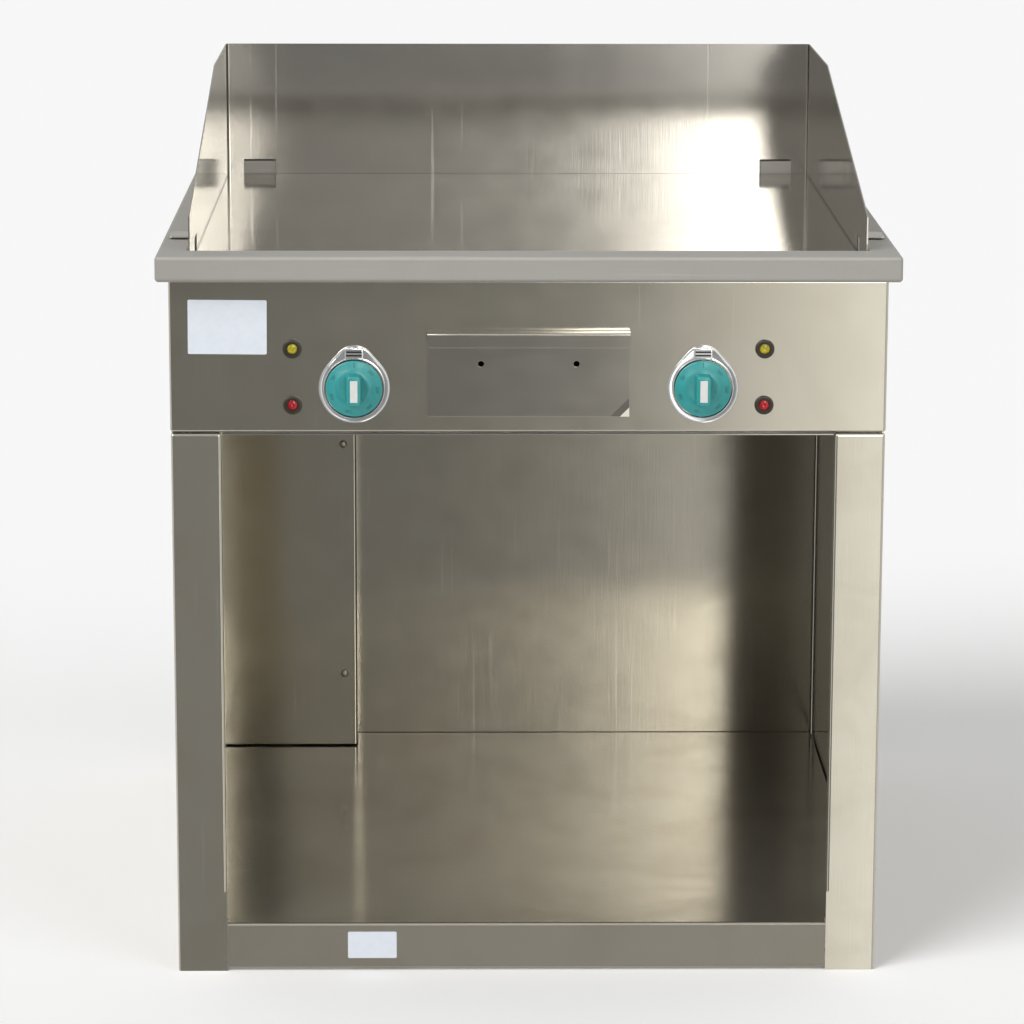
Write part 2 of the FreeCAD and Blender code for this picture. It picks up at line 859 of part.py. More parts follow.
def drawer_pan():
    """Open grease pan welded to the back of the drawer front."""
    pan = folded(
        "pan",
        across("pan_width/2"),
        (FRONT + "-drawer_gap", FRONT + "-drawer_gap+pan_length"),
        ("pan_low", "pan_high"),
        ("+z",),
    )
    named(pan, "drawer_pan")


def drawer_runners():
    """Channel each side of the pan, fixed on the two cross beams."""
    web = "pan_width/2+gap*8"
    runner = folded(
        "right_runner",
        (web + "-runner_ledge", web + "+sheet"),
        (FRONT + "+sheet+gap", "rear_beam_place+beam_depth"),
        ("pan_low-gap-sheet", "pan_high+gap*8+sheet"),
        ("-x", "-y", "+y"),
        "bend-1",
    )
    named(runner, "right_drawer_runner")
    named(mirrored("left_runner", runner), "left_drawer_runner")


# Controls


def knob(side, x):
    """Skirted control knob with a scooped grip bar, turned about the thermostat shaft."""
    body = new_body(side + "_knob_body")
    profile = sketch_on(body, side + "_knob_profile", "XY_Plane")
    draw_outline(
        profile,
        [
            ("0", "-skirt_back"),
            ("skirt_radius-0.5", "-skirt_back"),
            ("skirt_radius", "-skirt_back-1"),
            ("skirt_radius", "-skirt_front+1"),
            ("skirt_radius-1", "-skirt_front"),
            ("hub_radius+1", "-hub_front"),
            ("hub_radius", "-hub_front"),
            ("0", "-hub_front+hub_dish"),
        ],
    )
    revolve(body, side + "_knob_skirt", profile)
    bar = sketch_on(body, side + "_grip_outline", "XZ_Plane", measure("grip_foot"))
    half = "grip_width/2"
    reach = "hub_radius-grip_setback"
    draw_rectangle(bar, across(half), across(reach))
    pad(body, side + "_grip", bar, "knob_reach-grip_foot")
    tip = -measure("knob_reach")

    def at_tip(ends):
        return all(abs(end.y - tip) < 1e-4 for end in ends)

    round_edges(body, side + "_grip_rounds", "bend/2", at_tip)
    bore = sketch_on(body, side + "_knob_bore", "XZ_Plane")
    draw_circle(bore, "0", "0", "shaft_radius")
    pocket(body, side + "_shaft_bore", bore, "shaft_front*2")
    place(body, x, FRONT, "knob_height")
    named(body, side + "_knob")
    insert = block(
        side + "_insert_plate",
        (f"{x}-insert_width/2", f"{x}+insert_width/2"),
        (FRONT + "-knob_reach-insert_thickness", FRONT + "-knob_reach"),
        ("knob_height-insert_height/2", "knob_height+insert_height/2"),
    )
    named(insert, side + "_knob_insert")
    along = (FRONT + "-shaft_front", FRONT + "+shaft_rear")
    shaft = rod(side + "_shaft_rod", "Y", "shaft_radius", along, x=x, z="knob_height")
    named(shaft, side + "_thermostat_shaft")


def thermostat(side, x):
    """Thermostat behind the fascia, with its neck and a bore in which the shaft turns."""
    half = "thermostat_size/2"
    case = block(
        side + "_case",
        (f"{x}-{half}", f"{x}+{half}"),
        (FRONT + "+sheet+thermostat_gap", FRONT + "+sheet+thermostat_gap+thermostat_depth"),
        (f"knob_height-{half}", f"knob_height+{half}"),
    )
    at = {"x": x, "z": "knob_height"}
    neck = rod(side + "_neck", "Y", "neck_radius", (FRONT, FRONT + "+sheet+thermostat_gap+1"), **at)
    along = (FRONT + "-1", FRONT + "+shaft_rear+2")
    bore = rod(side + "_bore", "Y", "shaft_radius+running_clearance", along, **at)
    solid = join(side + "_thermostat_solid", case, neck)
    named(cut(side + "_thermostat_bored", solid, bore), side + "_thermostat")


def bezel(side, x):
    """Chromed ring round the knob, drawn up to a crown that holds the index window."""
    front = FRONT + "-bezel_sheet"
    disc = rod(side + "_bezel_disc", "Y", "bezel_radius", (front, FRONT), x=x, z="knob_height")
    crown_z = "knob_height+bezel_rise-bezel_crown_radius"
    crown = rod(side + "_bezel_crown", "Y", "bezel_crown_radius", (front, FRONT), x=x, z=crown_z)
    rise = measure("bezel_rise-bezel_crown_radius")
    lean = math.asin((measure("bezel_radius") - measure("bezel_crown_radius")) / rise)
    shoulders = DOC.addObject("Part::Feature", side + "_bezel_shoulders")
    corners = []
    for radius, up in ((measure("bezel_radius"), 0), (measure("bezel_crown_radius"), rise)):
        corners.append((radius * math.cos(lean), up + radius * math.sin(lean)))
    outline = [corners[0], corners[1], (-corners[1][0], corners[1][1]), (-corners[0][0], corners[0][1])]
    points = [FreeCAD.Vector(across, 0, up) for across, up in outline]
    shoulders.Shape = Part.Face(Part.makePolygon(points + points[:1])).extrude(
        FreeCAD.Vector(0, measure("bezel_sheet"), 0)
    )
    place(shoulders, x, front, "knob_height")
    lip = rod(side + "_bezel_lip", "Y", "bezel_bore+1.5", (FRONT + "-bezel_lip", FRONT), x=x, z="knob_height")
    window = block(
        side + "_index_window",
        (f"{x}-9", f"{x}+9"),
        (FRONT + "-bezel_lip+1", FRONT),
        ("knob_height+bezel_bore-1", "knob_height+bezel_rise-4"),
    )
    bore = rod(side + "_bezel_bore", "Y", "bezel_bore", (FRONT + "-10", FRONT + "+1"), x=x, z="knob_height")
    solid = join(side + "_bezel_solid", disc, crown, shoulders, lip, window)
    named(cut(side + "_bezel_bored", solid, bore), side + "_knob_bezel")


def lamps():
    """Four indicator lamps: a dark bezel in front, a recessed lens and a housing behind the fascia."""
    bezels = []
    housings = []
    for side, sign in (("left", "-"), ("right", "")):
        for level in ("lamp_high", "lamp_low"):
            x = sign + "lamp_place"
            name = f"{side}_{level}"
            at = {"x": x, "z": level}
            rim = rod(name + "_rim", "Y", "lamp_bezel_radius", (FRONT + "-lamp_bezel_height", FRONT), **at)
            through = (FRONT + "-lamp_bezel_height-1", FRONT + "+1")
            well = rod(name + "_well", "Y", "lens_radius", through, **at)
            bezels.append(cut(name + "_bezel", rim, well))
            behind = (FRONT, FRONT + "+lamp_body_length")
            housings.append(rod(name + "_housing", "Y", "lamp_body_radius", behind, **at))
    named(group("lamp_rims", bezels), "lamp_bezels")
    named(group("lamp_bodies", housings), "lamp_housings")
    for colour, level in (("yellow", "lamp_high"), ("red", "lamp_low")):
        lenses = []
        for side, sign in (("left", "-"), ("right", "")):
            x = sign + "lamp_place"
            name = f"{side}_{colour}_lens"
            lenses.append(rod(name, "Y", "lens_radius", (FRONT + "-lens_height", FRONT), x=x, z=level))
        named(group(colour + "_lenses", lenses), colour + "_lamp_lenses")


# Heating


def heating_element(side, sign):
    """Tubular element bent to and fro under the plate."""
    radius = measure("element_radius")
    z = measure(PLATE_LOW) - radius
    pitch = measure("element_pitch")
    front = measure("element_bend_front")
    rear = measure("element_rear") - pitch / 2
    start = measure("element_front")
    run_count = 6
    edges = []
    here = FreeCAD.Vector(sign * measure("element_inner"), start, z)
    for run in range(run_count):
        going_back = run % 2 == 0
        x = sign * (measure("element_inner") + run * pitch)
        last = run == run_count - 1
        end_y = rear if going_back else (start if last else front)
        there = FreeCAD.Vector(x, end_y, z)
        edges.append(Part.LineSegment(here, there).toShape())
        if not last:
            bulge = pitch / 2 if going_back else -pitch / 2
            over = FreeCAD.Vector(x + sign * pitch / 2, end_y + bulge, z)
            landing = FreeCAD.Vector(x + sign * pitch, end_y, z)
            edges.append(Part.Arc(there, over, landing).toShape())
            here = landing
    path = Part.Wire(edges)
    ring = Part.Wire(Part.makeCircle(radius, edges[0].Vertexes[0].Point, FreeCAD.Vector(0, 1, 0)))
    element = DOC.addObject("Part::Feature", side + "_element_tube")
    element.Shape = path.makePipeShell([ring], True, False)
    named(element, side + "_heating_element")


def clamps(side, sign):
    """Flat bars that press the element to the plate, on studs welded to it."""
    bars = []
    low, high = sorted((f"{sign}*({STUD_INNER})", f"{sign}*({STUD_OUTER})"), key=measure)
    top = PLATE_LOW + "-element_radius*2"
    z = (top + "-clamp_thickness", top)
    for step in (-1, 0, 1):
        y = f"clamp_pitch*{step}+clamp_middle"
        name = f"{side}_clamp_{step + 2}"
        bar_ends = (low + "-clamp_end", high + "+clamp_end")
        bar = block(name + "_bar", bar_ends, (y + "-clamp_width/2", y + "+clamp_width/2"), z)
        holes = []
        for end, x in (("low", low), ("high", high)):
            along = (z[0] + "-1", z[1] + "+1")
            holes.append(rod(f"{name}_{end}_hole", "Z", "stud_radius+0.3", along, x=x, y=y))
        bars.append(cut(name, bar, *holes))
    named(group(side + "_clamps", bars), side + "_element_clamps")


def clamp_studs():
    """Threaded studs under the plate, and the nuts that hold the clamp bars up."""
    studs = []
    nuts = []
    top = PLATE_LOW + "-element_radius*2-clamp_thickness"
    for sign in ("", "-"):
        for place_words in (STUD_INNER, STUD_OUTER):
            x = sign + f"({place_words})"
            for step in (-1, 0, 1):
                y = f"clamp_pitch*{step}+clamp_middle"
                name = f"stud_{len(studs) + 1}"
                studs.append(rod(name, "Z", "stud_radius", (top + "-stud_below", PLATE_LOW), x=x, y=y))
                nut = rod(name + "_nut_outside", "Z", "nut_radius", (top + "-nut_height", top), x=x, y=y)
                along = (top + "-nut_height-1", top + "+1")
                thread = rod(name + "_nut_thread", "Z", "stud_radius", along, x=x, y=y)
                nuts.append(cut(name + "_nut", nut, thread))
    named(group("studs", studs), "clamp_studs")
    named(group("nuts", nuts), "clamp_nuts")


def sensing_bulb(side, sign):
    """Thermostat bulb under the plate, with its capillary led down to the thermostat."""
    x = sign * measure("knob_place")
    bulb_z = measure(PLATE_LOW) - measure("bulb_radius")
    top_z = measure("knob_height+thermostat_size/2")
    down_y = measure(FRONT + "+capillary_behind")
    bend = measure("capillary_bend")
    bulb_front = measure("bulb_front")
    start = FreeCAD.Vector(x, bulb_front, bulb_z)
    backward = FreeCAD.Vector(0, 1, 0)
    bulb = Part.makeCylinder(measure("bulb_radius"), measure("bulb_length"), start, backward)
    corner = FreeCAD.Vector(x, down_y, bulb_z)
    swing = bend * (1 - math.sqrt(0.5))
    run = Part.LineSegment(start, corner + FreeCAD.Vector(0, bend, 0))
    turn = Part.Arc(
        corner + FreeCAD.Vector(0, bend, 0),
        corner + FreeCAD.Vector(0, swing, -swing),
        corner + FreeCAD.Vector(0, 0, -bend),
    )
    drop = Part.LineSegment(corner + FreeCAD.Vector(0, 0, -bend), FreeCAD.Vector(x, down_y, top_z))
    path = Part.Wire([run.toShape(), turn.toShape(), drop.toShape()])
    ring = Part.Wire(Part.makeCircle(measure("capillary_radius"), start, backward))
    whole = DOC.addObject("Part::Feature", side + "_bulb_and_capillary")
    whole.Shape = bulb.fuse(path.makePipeShell([ring], True, False)).removeSplitter()
    named(whole, side + "_sensing_bulb")


def limit_switches():
    """Sealed snap-disc limit switches held against the plate."""
    for side, sign in (("left", "-"), ("right", "")):
        x = sign + "(element_inner+element_pitch*3.5)"
        y = "switch_place"
        can_z = (PLATE_LOW + "-switch_can_height", PLATE_LOW)
        can = rod(side + "_switch_can", "Z", "switch_radius", can_z, x=x, y=y)
        base_z = (PLATE_LOW + "-switch_height", PLATE_LOW + "-switch_can_height")
        base = rod(side + "_switch_base", "Z", "switch_radius-1", base_z, x=x, y=y)
        named(join(side + "_switch", can, base), side + "_limit_switch")


def insulation():
    """Blanket under the elements in a folded tray, which two angles carry from wall to wall."""
    tray = folded(
        "tray",
        across("tray_half_width"),
        ("tray_front", "tray_rear"),
        ("blanket_low-sheet", "tray_top"),
        ("+z",),
    )
    named(tray, "heat_shield_tray")
    blanket = block(
        "blanket",
        across("tray_half_width-bend-1"),
        ("tray_front+bend+1", "tray_rear-bend-1"),
        ("blanket_low", "blanket_high"),
    )
    named(blanket, "insulation_blanket")
    angles = []
    for name, y in (("front", "tray_front+tray_angle_inset"), ("rear", "tray_rear-tray_angle_inset*2")):
        angles.append(
            folded(
                f"tray_angle_{name}",
                BETWEEN_WALLS,
                (y, y + "+tray_angle"),
                ("blanket_low-sheet-tray_angle", "blanket_low-sheet"),
                ("-x", "+x", "-z", "+y"),
                "bend-1",
            )
        )
    named(group("tray_angles", angles), "tray_supports")


# Splash guard


def splash_guard():
    """Three-sided guard bent from one sheet, standing in the recess, with tabs lanced outwards."""
    body = new_body("splash_guard_body")
    plan = sketch_on(body, "guard_plan", "XY_Plane")
    outer = "guard_width/2"
    inner = "(guard_width/2-guard_sheet)"
    inner_rear = "guard_rear-guard_sheet"
    draw_outline(
        plan,
        [
            ("-" + outer, "guard_front"),
            ("-" + inner, "guard_front"),
            ("-" + inner, inner_rear),
            (inner, inner_rear),
            (inner, "guard_front"),
            (outer, "guard_front"),
            (outer, "guard_rear"),
            ("-" + outer, "guard_rear"),
        ],
    )
    pad(body, "guard_walls", plan, "guard_height")

    def bend_at(x, y):
        def chosen(ends):
            upright = len(ends) == 2 and abs(ends[0].z - ends[1].z) > 1
            return upright and near(abs(ends[0].x), x) and near(ends[0].y, y)

        return chosen

    round_edges(body, "guard_outer_bends", "guard_bend", bend_at(outer, "guard_rear"))
    round_edges(body, "guard_inner_bends", "guard_bend-guard_sheet", bend_at(inner, inner_rear))
    slope = sketch_on(body, "guard_slope", "YZ_Plane")
    draw_outline(
        slope,
        [
            ("guard_front-1", "guard_front_height"),
            ("guard_front", "guard_front_height"),
            ("guard_slope_start", "guard_height"),
            ("guard_slope_start", "guard_height+1"),
            ("guard_front-1", "guard_height+1"),
        ],
    )
    pocket(body, "guard_slopes", slope, "worktop_width*2")
    side_notches = sketch_on(body, "side_notches", "YZ_Plane")
    low = "side_tab_place-tab_width/2"
    high = "side_tab_place+tab_width/2"
    draw_rectangle(side_notches, (low, high), ("-1", "tab_height+2"))
    pocket(body, "guard_side_notches", side_notches, "worktop_width*2")
    tab_plane = measure("tab_height+tab_rest")
    for side, sign in (("left", "-"), ("right", "")):
        x = sign + "rear_tab_place"
        wide = (x + "-tab_width/2", x + "+tab_width/2")
        notch = sketch_on(body, side + "_rear_notch", "XY_Plane")
        draw_rectangle(notch, wide, ("guard_rear-5", "guard_rear+5"))
        pocket(body, side + "_rear_cut", notch, "(tab_height+2)*2")
        rear_tab = sketch_on(body, side + "_rear_tab", "XY_Plane", tab_plane)
        draw_rectangle(rear_tab, wide, (inner_rear, inner_rear + "+tab_reach"))
        pad(body, side + "_rear_tab_sheet", rear_tab, "guard_sheet")
        side_tab = sketch_on(body, side + "_side_tab", "XY_Plane", tab_plane)
        reach = (f"{sign}{inner}", f"{sign}({inner}+tab_reach)")
        draw_rectangle(side_tab, reach, (low, high))
        pad(body, side + "_side_tab_sheet", side_tab, "guard_sheet")
    tip_x = measure("guard_width/2-guard_sheet+tab_reach")

    def tab_corner(ends):
        at_tip = len(ends) == 2 and all(abs(abs(end.x) - tip_x) < 1e-4 for end in ends)
        return at_tip and abs(ends[0].z - ends[1].z) > 1

    round_edges(body, "tab_corners", "bend*2", tab_corner)
    place(body, z=PLATE_TOP + "+guard_rest")
    named(body, "splash_guard")


def check_everything():
    """Stops if any object failed to compute or any sub-part has no valid solid."""
    DOC.recompute()
    for thing in DOC.Objects:
        if "Invalid" in thing.State or "Error" in thing.State:
            raise RuntimeError(f"{thing.Name} failed: {thing.State}")
    for piece in SUB_PARTS:
        if piece.Shape.isNull() or not piece.Shape.isValid() or not piece.Shape.Solids:
            raise RuntimeError(f"{piece.Label} has no valid solid")


def write_parts():
    os.makedirs(PARTS_FOLDER, exist_ok=True)
    for piece in SUB_PARTS:
        piece.Shape.exportStep(f"{PARTS_FOLDER}/{piece.Label}.step")
        print(f"{piece.Label}: {len(piece.Shape.Solids)} solid(s), {piece.Shape.Volume / 1000:.1f} cm3")


write_sheet()
worktop_deck()
griddle_plate()
drain_chute()
side_panels()
back_panel()
floor_shelf()
compartment_ceiling()
cross_beams()
control_panel()
service_channel()
terminal_block()
cable_gland()
bonding_stud()
corner_feet()
worktop_screws()
drawer_front()
drawer_pan()
drawer_runners()
for side_name, knob_x in (("left", "-knob_place"), ("right", "knob_place")):
    knob(side_name, knob_x)
    thermostat(side_name, knob_x)
    bezel(side_name, knob_x)
lamps()
for side_name, side_sign in (("left", -1), ("right", 1)):
    heating_element(side_name, side_sign)
    clamps(side_name, side_sign)
    sensing_bulb(side_name, side_sign)
clamp_studs()
limit_switches()
insulation()
splash_guard()
check_everything()
write_parts()
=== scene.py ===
"""Flat top griddle on a floor cabinet: each piece's finish, and the pieces whose shape is modelled here."""

import json
import math

import bpy
from mathutils import Matrix, Vector


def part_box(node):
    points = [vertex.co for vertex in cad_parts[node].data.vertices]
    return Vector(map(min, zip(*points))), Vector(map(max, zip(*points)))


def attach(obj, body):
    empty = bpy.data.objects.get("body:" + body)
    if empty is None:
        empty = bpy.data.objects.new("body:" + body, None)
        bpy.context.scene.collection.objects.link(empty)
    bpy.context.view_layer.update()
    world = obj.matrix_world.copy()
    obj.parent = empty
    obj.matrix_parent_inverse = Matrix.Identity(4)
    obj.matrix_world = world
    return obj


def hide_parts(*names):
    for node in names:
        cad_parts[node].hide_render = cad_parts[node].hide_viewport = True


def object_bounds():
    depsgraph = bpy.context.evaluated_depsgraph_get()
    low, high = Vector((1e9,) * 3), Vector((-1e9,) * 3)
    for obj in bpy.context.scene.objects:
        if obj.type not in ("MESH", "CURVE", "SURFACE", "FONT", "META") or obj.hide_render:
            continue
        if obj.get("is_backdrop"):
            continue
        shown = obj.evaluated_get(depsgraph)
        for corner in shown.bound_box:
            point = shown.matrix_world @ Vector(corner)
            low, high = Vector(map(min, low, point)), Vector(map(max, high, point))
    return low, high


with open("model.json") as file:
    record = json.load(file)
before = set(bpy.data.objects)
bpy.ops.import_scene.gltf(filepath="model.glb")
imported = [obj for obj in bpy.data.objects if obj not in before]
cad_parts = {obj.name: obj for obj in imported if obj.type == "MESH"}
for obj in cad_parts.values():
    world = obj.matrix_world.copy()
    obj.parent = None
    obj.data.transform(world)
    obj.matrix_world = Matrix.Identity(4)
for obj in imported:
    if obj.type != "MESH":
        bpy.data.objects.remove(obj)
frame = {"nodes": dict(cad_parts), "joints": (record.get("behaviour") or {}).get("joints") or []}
cad_low, cad_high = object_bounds()
nodes = frame["nodes"]


# -----------------------------------------------------------------------------------------------------------
# Cabinet sheets. The side, back and control panels, the legs, the floor, the ceiling and the cover of the
# service channel are folded from 1.2 mm satin stainless steel. The finish has faint clouds, such as wiping
# leaves, and a few fine scratches.
# -----------------------------------------------------------------------------------------------------------


def put(tree, kind, feeds=None, **settings):
    """Adds a shader node. Each feed is a value for that input, or the output that is wired to it."""
    made = tree.nodes.new("ShaderNode" + kind)
    for name, value in settings.items():
        setattr(made, name, value)
    for place, value in (feeds or {}).items():
        if isinstance(value, bpy.types.NodeSocket):
            tree.links.new(value, made.inputs[place])
        else:
            made.inputs[place].default_value = value
    return made


def effect(name, inputs, outputs):
    """Starts a shared effect and returns its tree, its inputs and the sockets that take its results."""
    tree = bpy.data.node_groups.new(name, "ShaderNodeTree")
    for label, kind, value in inputs:
        socket = tree.interface.new_socket(label, in_out="INPUT", socket_type="NodeSocket" + kind)
        socket.default_value = value
    for label, kind in outputs:
        tree.interface.new_socket(label, in_out="OUTPUT", socket_type="NodeSocket" + kind)
    return tree, tree.nodes.new("NodeGroupInput").outputs, tree.nodes.new("NodeGroupOutput").inputs


def remap(tree, value, low, high, to_low=0.0, to_high=1.0):
    """Turns low..high into to_low..to_high, smoothly and without overshoot."""
    feeds = {"Value": value, "From Min": low, "From Max": high, "To Min": to_low, "To Max": to_high}
    return put(tree, "MapRange", feeds, interpolation_type="SMOOTHSTEP").outputs[0]


def maths(tree, operation, first, second):
    return put(tree, "Math", {0: first, 1: second}, operation=operation).outputs[0]


def mixed(tree, factor, first, second):
    return put(tree, "Mix", {0: factor, 6: first, 7: second}, data_type="RGBA").outputs[2]


def noise_at(tree, stretch, detail=3.0, ragged=0.55, shift=(0, 0, 0), distortion=0.0):
    """Noise over the piece, with that many spots to the metre along X, Y and Z."""
    place = put(tree, "TexCoord").outputs["Object"]
    scaled = put(tree, "Mapping", {"Vector": place, "Scale": stretch, "Location": shift}).outputs[0]
    feeds = {"Vector": scaled, "Scale": 1.0, "Detail": detail, "Roughness": ragged, "Distortion": distortion}
    return put(tree, "TexNoise", feeds).outputs["Fac"]


worn_metal, given, result = effect(
    "worn_metal",
    [("Colour", "Color", (0.5, 0.5, 0.5, 1)), ("Stain", "Color", (0.4, 0.4, 0.4, 1)),
     ("Roughness", "Float", 0.2), ("Clouding", "Float", 0.5), ("Scratching", "Float", 0.5),
     ("Grain", "Vector", (900, 900, 12)), ("Scratch", "Vector", (260, 260, 7))],
    [("Colour", "Color"), ("Roughness", "Float"), ("Height", "Float")])
grain = noise_at(worn_metal, given["Grain"], detail=2.0)
clouds = noise_at(worn_metal, (7, 7, 7), detail=5.0, ragged=0.6, distortion=0.6)
wiping = noise_at(worn_metal, (23, 23, 31), detail=4.0, shift=(3, 1, 7))
lines = noise_at(worn_metal, given["Scratch"], detail=1.0, shift=(11, 5, 2))
patches = noise_at(worn_metal, (9, 9, 9), detail=1.0, shift=(5, 9, 1))
fine_lines = remap(worn_metal, lines, 0.66, 0.74)
scratches = maths(worn_metal, "MULTIPLY", fine_lines, remap(worn_metal, patches, 0.45, 0.6))
scratches = maths(worn_metal, "MULTIPLY", scratches, given["Scratching"])
stained = maths(worn_metal, "MULTIPLY", remap(worn_metal, clouds, 0.42, 0.72), given["Clouding"])
tinted = mixed(worn_metal, stained, given["Colour"], given["Stain"])
lit = mixed(worn_metal, scratches, tinted, (0.72, 0.71, 0.68, 1))
worn_metal.links.new(lit, result["Colour"])
rough = maths(worn_metal, "MULTIPLY_ADD", wiping, 0.06)
rough.node.inputs[2].default_value = -0.03
rough = maths(worn_metal, "ADD", rough, given["Roughness"])
rough = maths(worn_metal, "ADD", rough, maths(worn_metal, "MULTIPLY", grain, 0.04))
rough = maths(worn_metal, "ADD", rough, maths(worn_metal, "MULTIPLY", stained, 0.05))
rough = maths(worn_metal, "ADD", rough, maths(worn_metal, "MULTIPLY", scratches, 0.15))
worn_metal.links.new(rough, result["Roughness"])
worn_metal.links.new(maths(worn_metal, "SUBTRACT", grain, scratches), result["Height"])


def metal(name, colour, stain, roughness, clouding, scratching, grain, relief=0.012, metallic=0.87):
    """A worn metal. Its grain is lines to the metre along X, Y and Z, few of them along the brushing."""
    material = bpy.data.materials.new(name)
    material.use_nodes = True
    tree = material.node_tree
    shader = tree.nodes["Principled BSDF"]
    shader.inputs["Metallic"].default_value = metallic
    feeds = {"Colour": (*colour, 1), "Stain": (*stain, 1), "Roughness": roughness, "Clouding": clouding,
             "Scratching": scratching, "Grain": grain, "Scratch": tuple(lines / 3.5 for lines in grain)}
    worn = put(tree, "Group", feeds, node_tree=worn_metal).outputs
    bump = put(tree, "Bump", {"Height": worn["Height"], "Strength": relief, "Distance": 0.001})
    tree.links.new(worn["Colour"], shader.inputs["Base Color"])
    tree.links.new(worn["Roughness"], shader.inputs["Roughness"])
    tree.links.new(bump.outputs[0], shader.inputs["Normal"])
    return material


def finish_with(material, *names):
    for name in names:
        for place in nodes[name].material_slots:
            place.material = material


UPRIGHT = (900, 900, 14)
ALONG = (14, 900, 900)
steel_colour = (0.50, 0.475, 0.405)
steel_stain = (0.41, 0.37, 0.30)
upright_steel = metal("satin_steel_upright", steel_colour, steel_stain, 0.11, 0.3, 0.12, UPRIGHT)
panel_steel = metal("satin_steel_panel", steel_colour, steel_stain, 0.11, 0.3, 0.08, UPRIGHT, 0.006, 0.95)
floor_steel = metal("satin_steel_floor", (0.48, 0.45, 0.39), (0.33, 0.29, 0.22), 0.10, 0.5, 0.15, ALONG)
finish_with(upright_steel, "left_side_panel", "right_side_panel", "back_panel", "compartment_ceiling",
            "service_cover", "service_cover_bracket")
finish_with(panel_steel, "control_panel")
finish_with(floor_steel, "floor_shelf")

# the rail along the front of the shelf is duller than the shelf behind it: rougher, and on its front face
# darker in colour as painted shade
DULL_AND_SHADED_TO, CLEAR_FROM, DULL_ROUGHNESS, RAIL_SHADE_SHARE = 0.0006, 0.0030, 0.42, 0.8
rail_shade_colour = (0.20, 0.185, 0.155, 1)
tree = floor_steel.node_tree
rail_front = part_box("floor_shelf")[0].y
depth = put(tree, "SeparateXYZ", {0: put(tree, "TexCoord").outputs["Object"]}).outputs["Y"]
dull_and_shaded = remap(tree, depth, rail_front + DULL_AND_SHADED_TO, rail_front + CLEAR_FROM, 1.0, 0.0)
shader = tree.nodes["Principled BSDF"]
polish = shader.inputs["Roughness"].links[0].from_socket
rubbed = maths(tree, "MULTIPLY", dull_and_shaded, DULL_ROUGHNESS)
tree.links.new(maths(tree, "MAXIMUM", polish, rubbed), shader.inputs["Roughness"])
# the base colour is mixed towards a dark tone on the rail's front face: painted shade
clean = shader.inputs["Base Color"].links[0].from_socket
rail_shade_share = maths(tree, "MULTIPLY", dull_and_shaded, RAIL_SHADE_SHARE)
tree.links.new(mixed(tree, rail_shade_share, clean, rail_shade_colour), shader.inputs["Base Color"])


# -----------------------------------------------------------------------------------------------------------
# Worktop, griddle plate and splash guard. The worktop is folded from satin sheet round the recess for the
# plate, which is smooth steel. The guard is bent from one sheet and rests on the worktop by its tabs.
# -----------------------------------------------------------------------------------------------------------

worktop_steel = metal("fine_satin_worktop", (0.36, 0.35, 0.325), (0.32, 0.31, 0.285), 0.64, 0.4, 0.1, ALONG,
                      metallic=0.65)
plate_steel = metal("griddle_plate_steel", (0.48, 0.46, 0.415), (0.34, 0.31, 0.26), 0.065, 0.4, 0.3, ALONG,
                    relief=0.008, metallic=1.0)
guard_steel = metal("splash_guard_steel", (0.55, 0.53, 0.49), (0.47, 0.45, 0.40), 0.085, 0.3, 0.3, UPRIGHT,
                    metallic=0.98)
finish_with(worktop_steel, "worktop_deck")
finish_with(plate_steel, "griddle_plate")

# a thin line of painted shade runs on the plate along the foot of the guard, whose tabs reach out past its
# walls
SHADE_LINE_WIDTH, SHADE_LINE_SHARE, TAB_REACH = 0.0016, 0.85, 0.0280
guard_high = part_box("splash_guard")[1]
guard_half, guard_rear = guard_high.x - TAB_REACH, guard_high.y - TAB_REACH
tree = plate_steel.node_tree
spot = put(tree, "SeparateXYZ", {0: put(tree, "TexCoord").outputs["Object"]}).outputs
beside = maths(tree, "GREATER_THAN", maths(tree, "ABSOLUTE", spot["X"], 0.0), guard_half - SHADE_LINE_WIDTH)
behind = maths(tree, "GREATER_THAN", spot["Y"], guard_rear - SHADE_LINE_WIDTH)
painted_shade_line = maths(tree, "MULTIPLY", maths(tree, "MAXIMUM", beside, behind), SHADE_LINE_SHARE)
shader = tree.nodes["Principled BSDF"]
clean = shader.inputs["Base Color"].links[0].from_socket
# the plate's colour goes nearly black in that strip: painted shade where the guard meets the plate
tree.links.new(mixed(tree, painted_shade_line, clean, (0.035, 0.026, 0.018, 1)), shader.inputs["Base Color"])
finish_with(guard_steel, "splash_guard")


# -----------------------------------------------------------------------------------------------------------
# Frame and trays that are out of sight. The beams, runners, gussets, drain chute and the tray for the
# insulation are galvanised sheet, spot-welded or screwed to the cabinet. The nuts, screws and studs are plain
# bright steel.
# -----------------------------------------------------------------------------------------------------------

SPANGLE = (170, 170, 170)
galvanised = metal("galvanised_sheet", (0.50, 0.51, 0.52), (0.38, 0.39, 0.41), 0.36, 0.9, 0.2, SPANGLE, 0.01)
bright_steel = metal("turned_steel", (0.56, 0.55, 0.53), (0.36, 0.33, 0.28), 0.24, 0.5, 0.2, (900, 900, 900))
finish_with(galvanised, "front_cross_beam", "rear_cross_beam", "left_drawer_runner", "right_drawer_runner",
            "heat_shield_tray", "tray_supports", "foot_gussets", "drain_chute")
dulled_screws = metal("dulled_screws", (0.30, 0.285, 0.25), (0.20, 0.18, 0.15), 0.30, 0.6, 0.2, SPANGLE)
finish_with(dulled_screws, "service_cover_screws")
finish_with(bright_steel, "worktop_screws", "clamp_studs", "clamp_nuts", "foot_bushes",
            "left_element_clamps", "right_element_clamps", "left_thermostat_shaft", "right_thermostat_shaft",
            "left_limit_switch", "right_limit_switch")
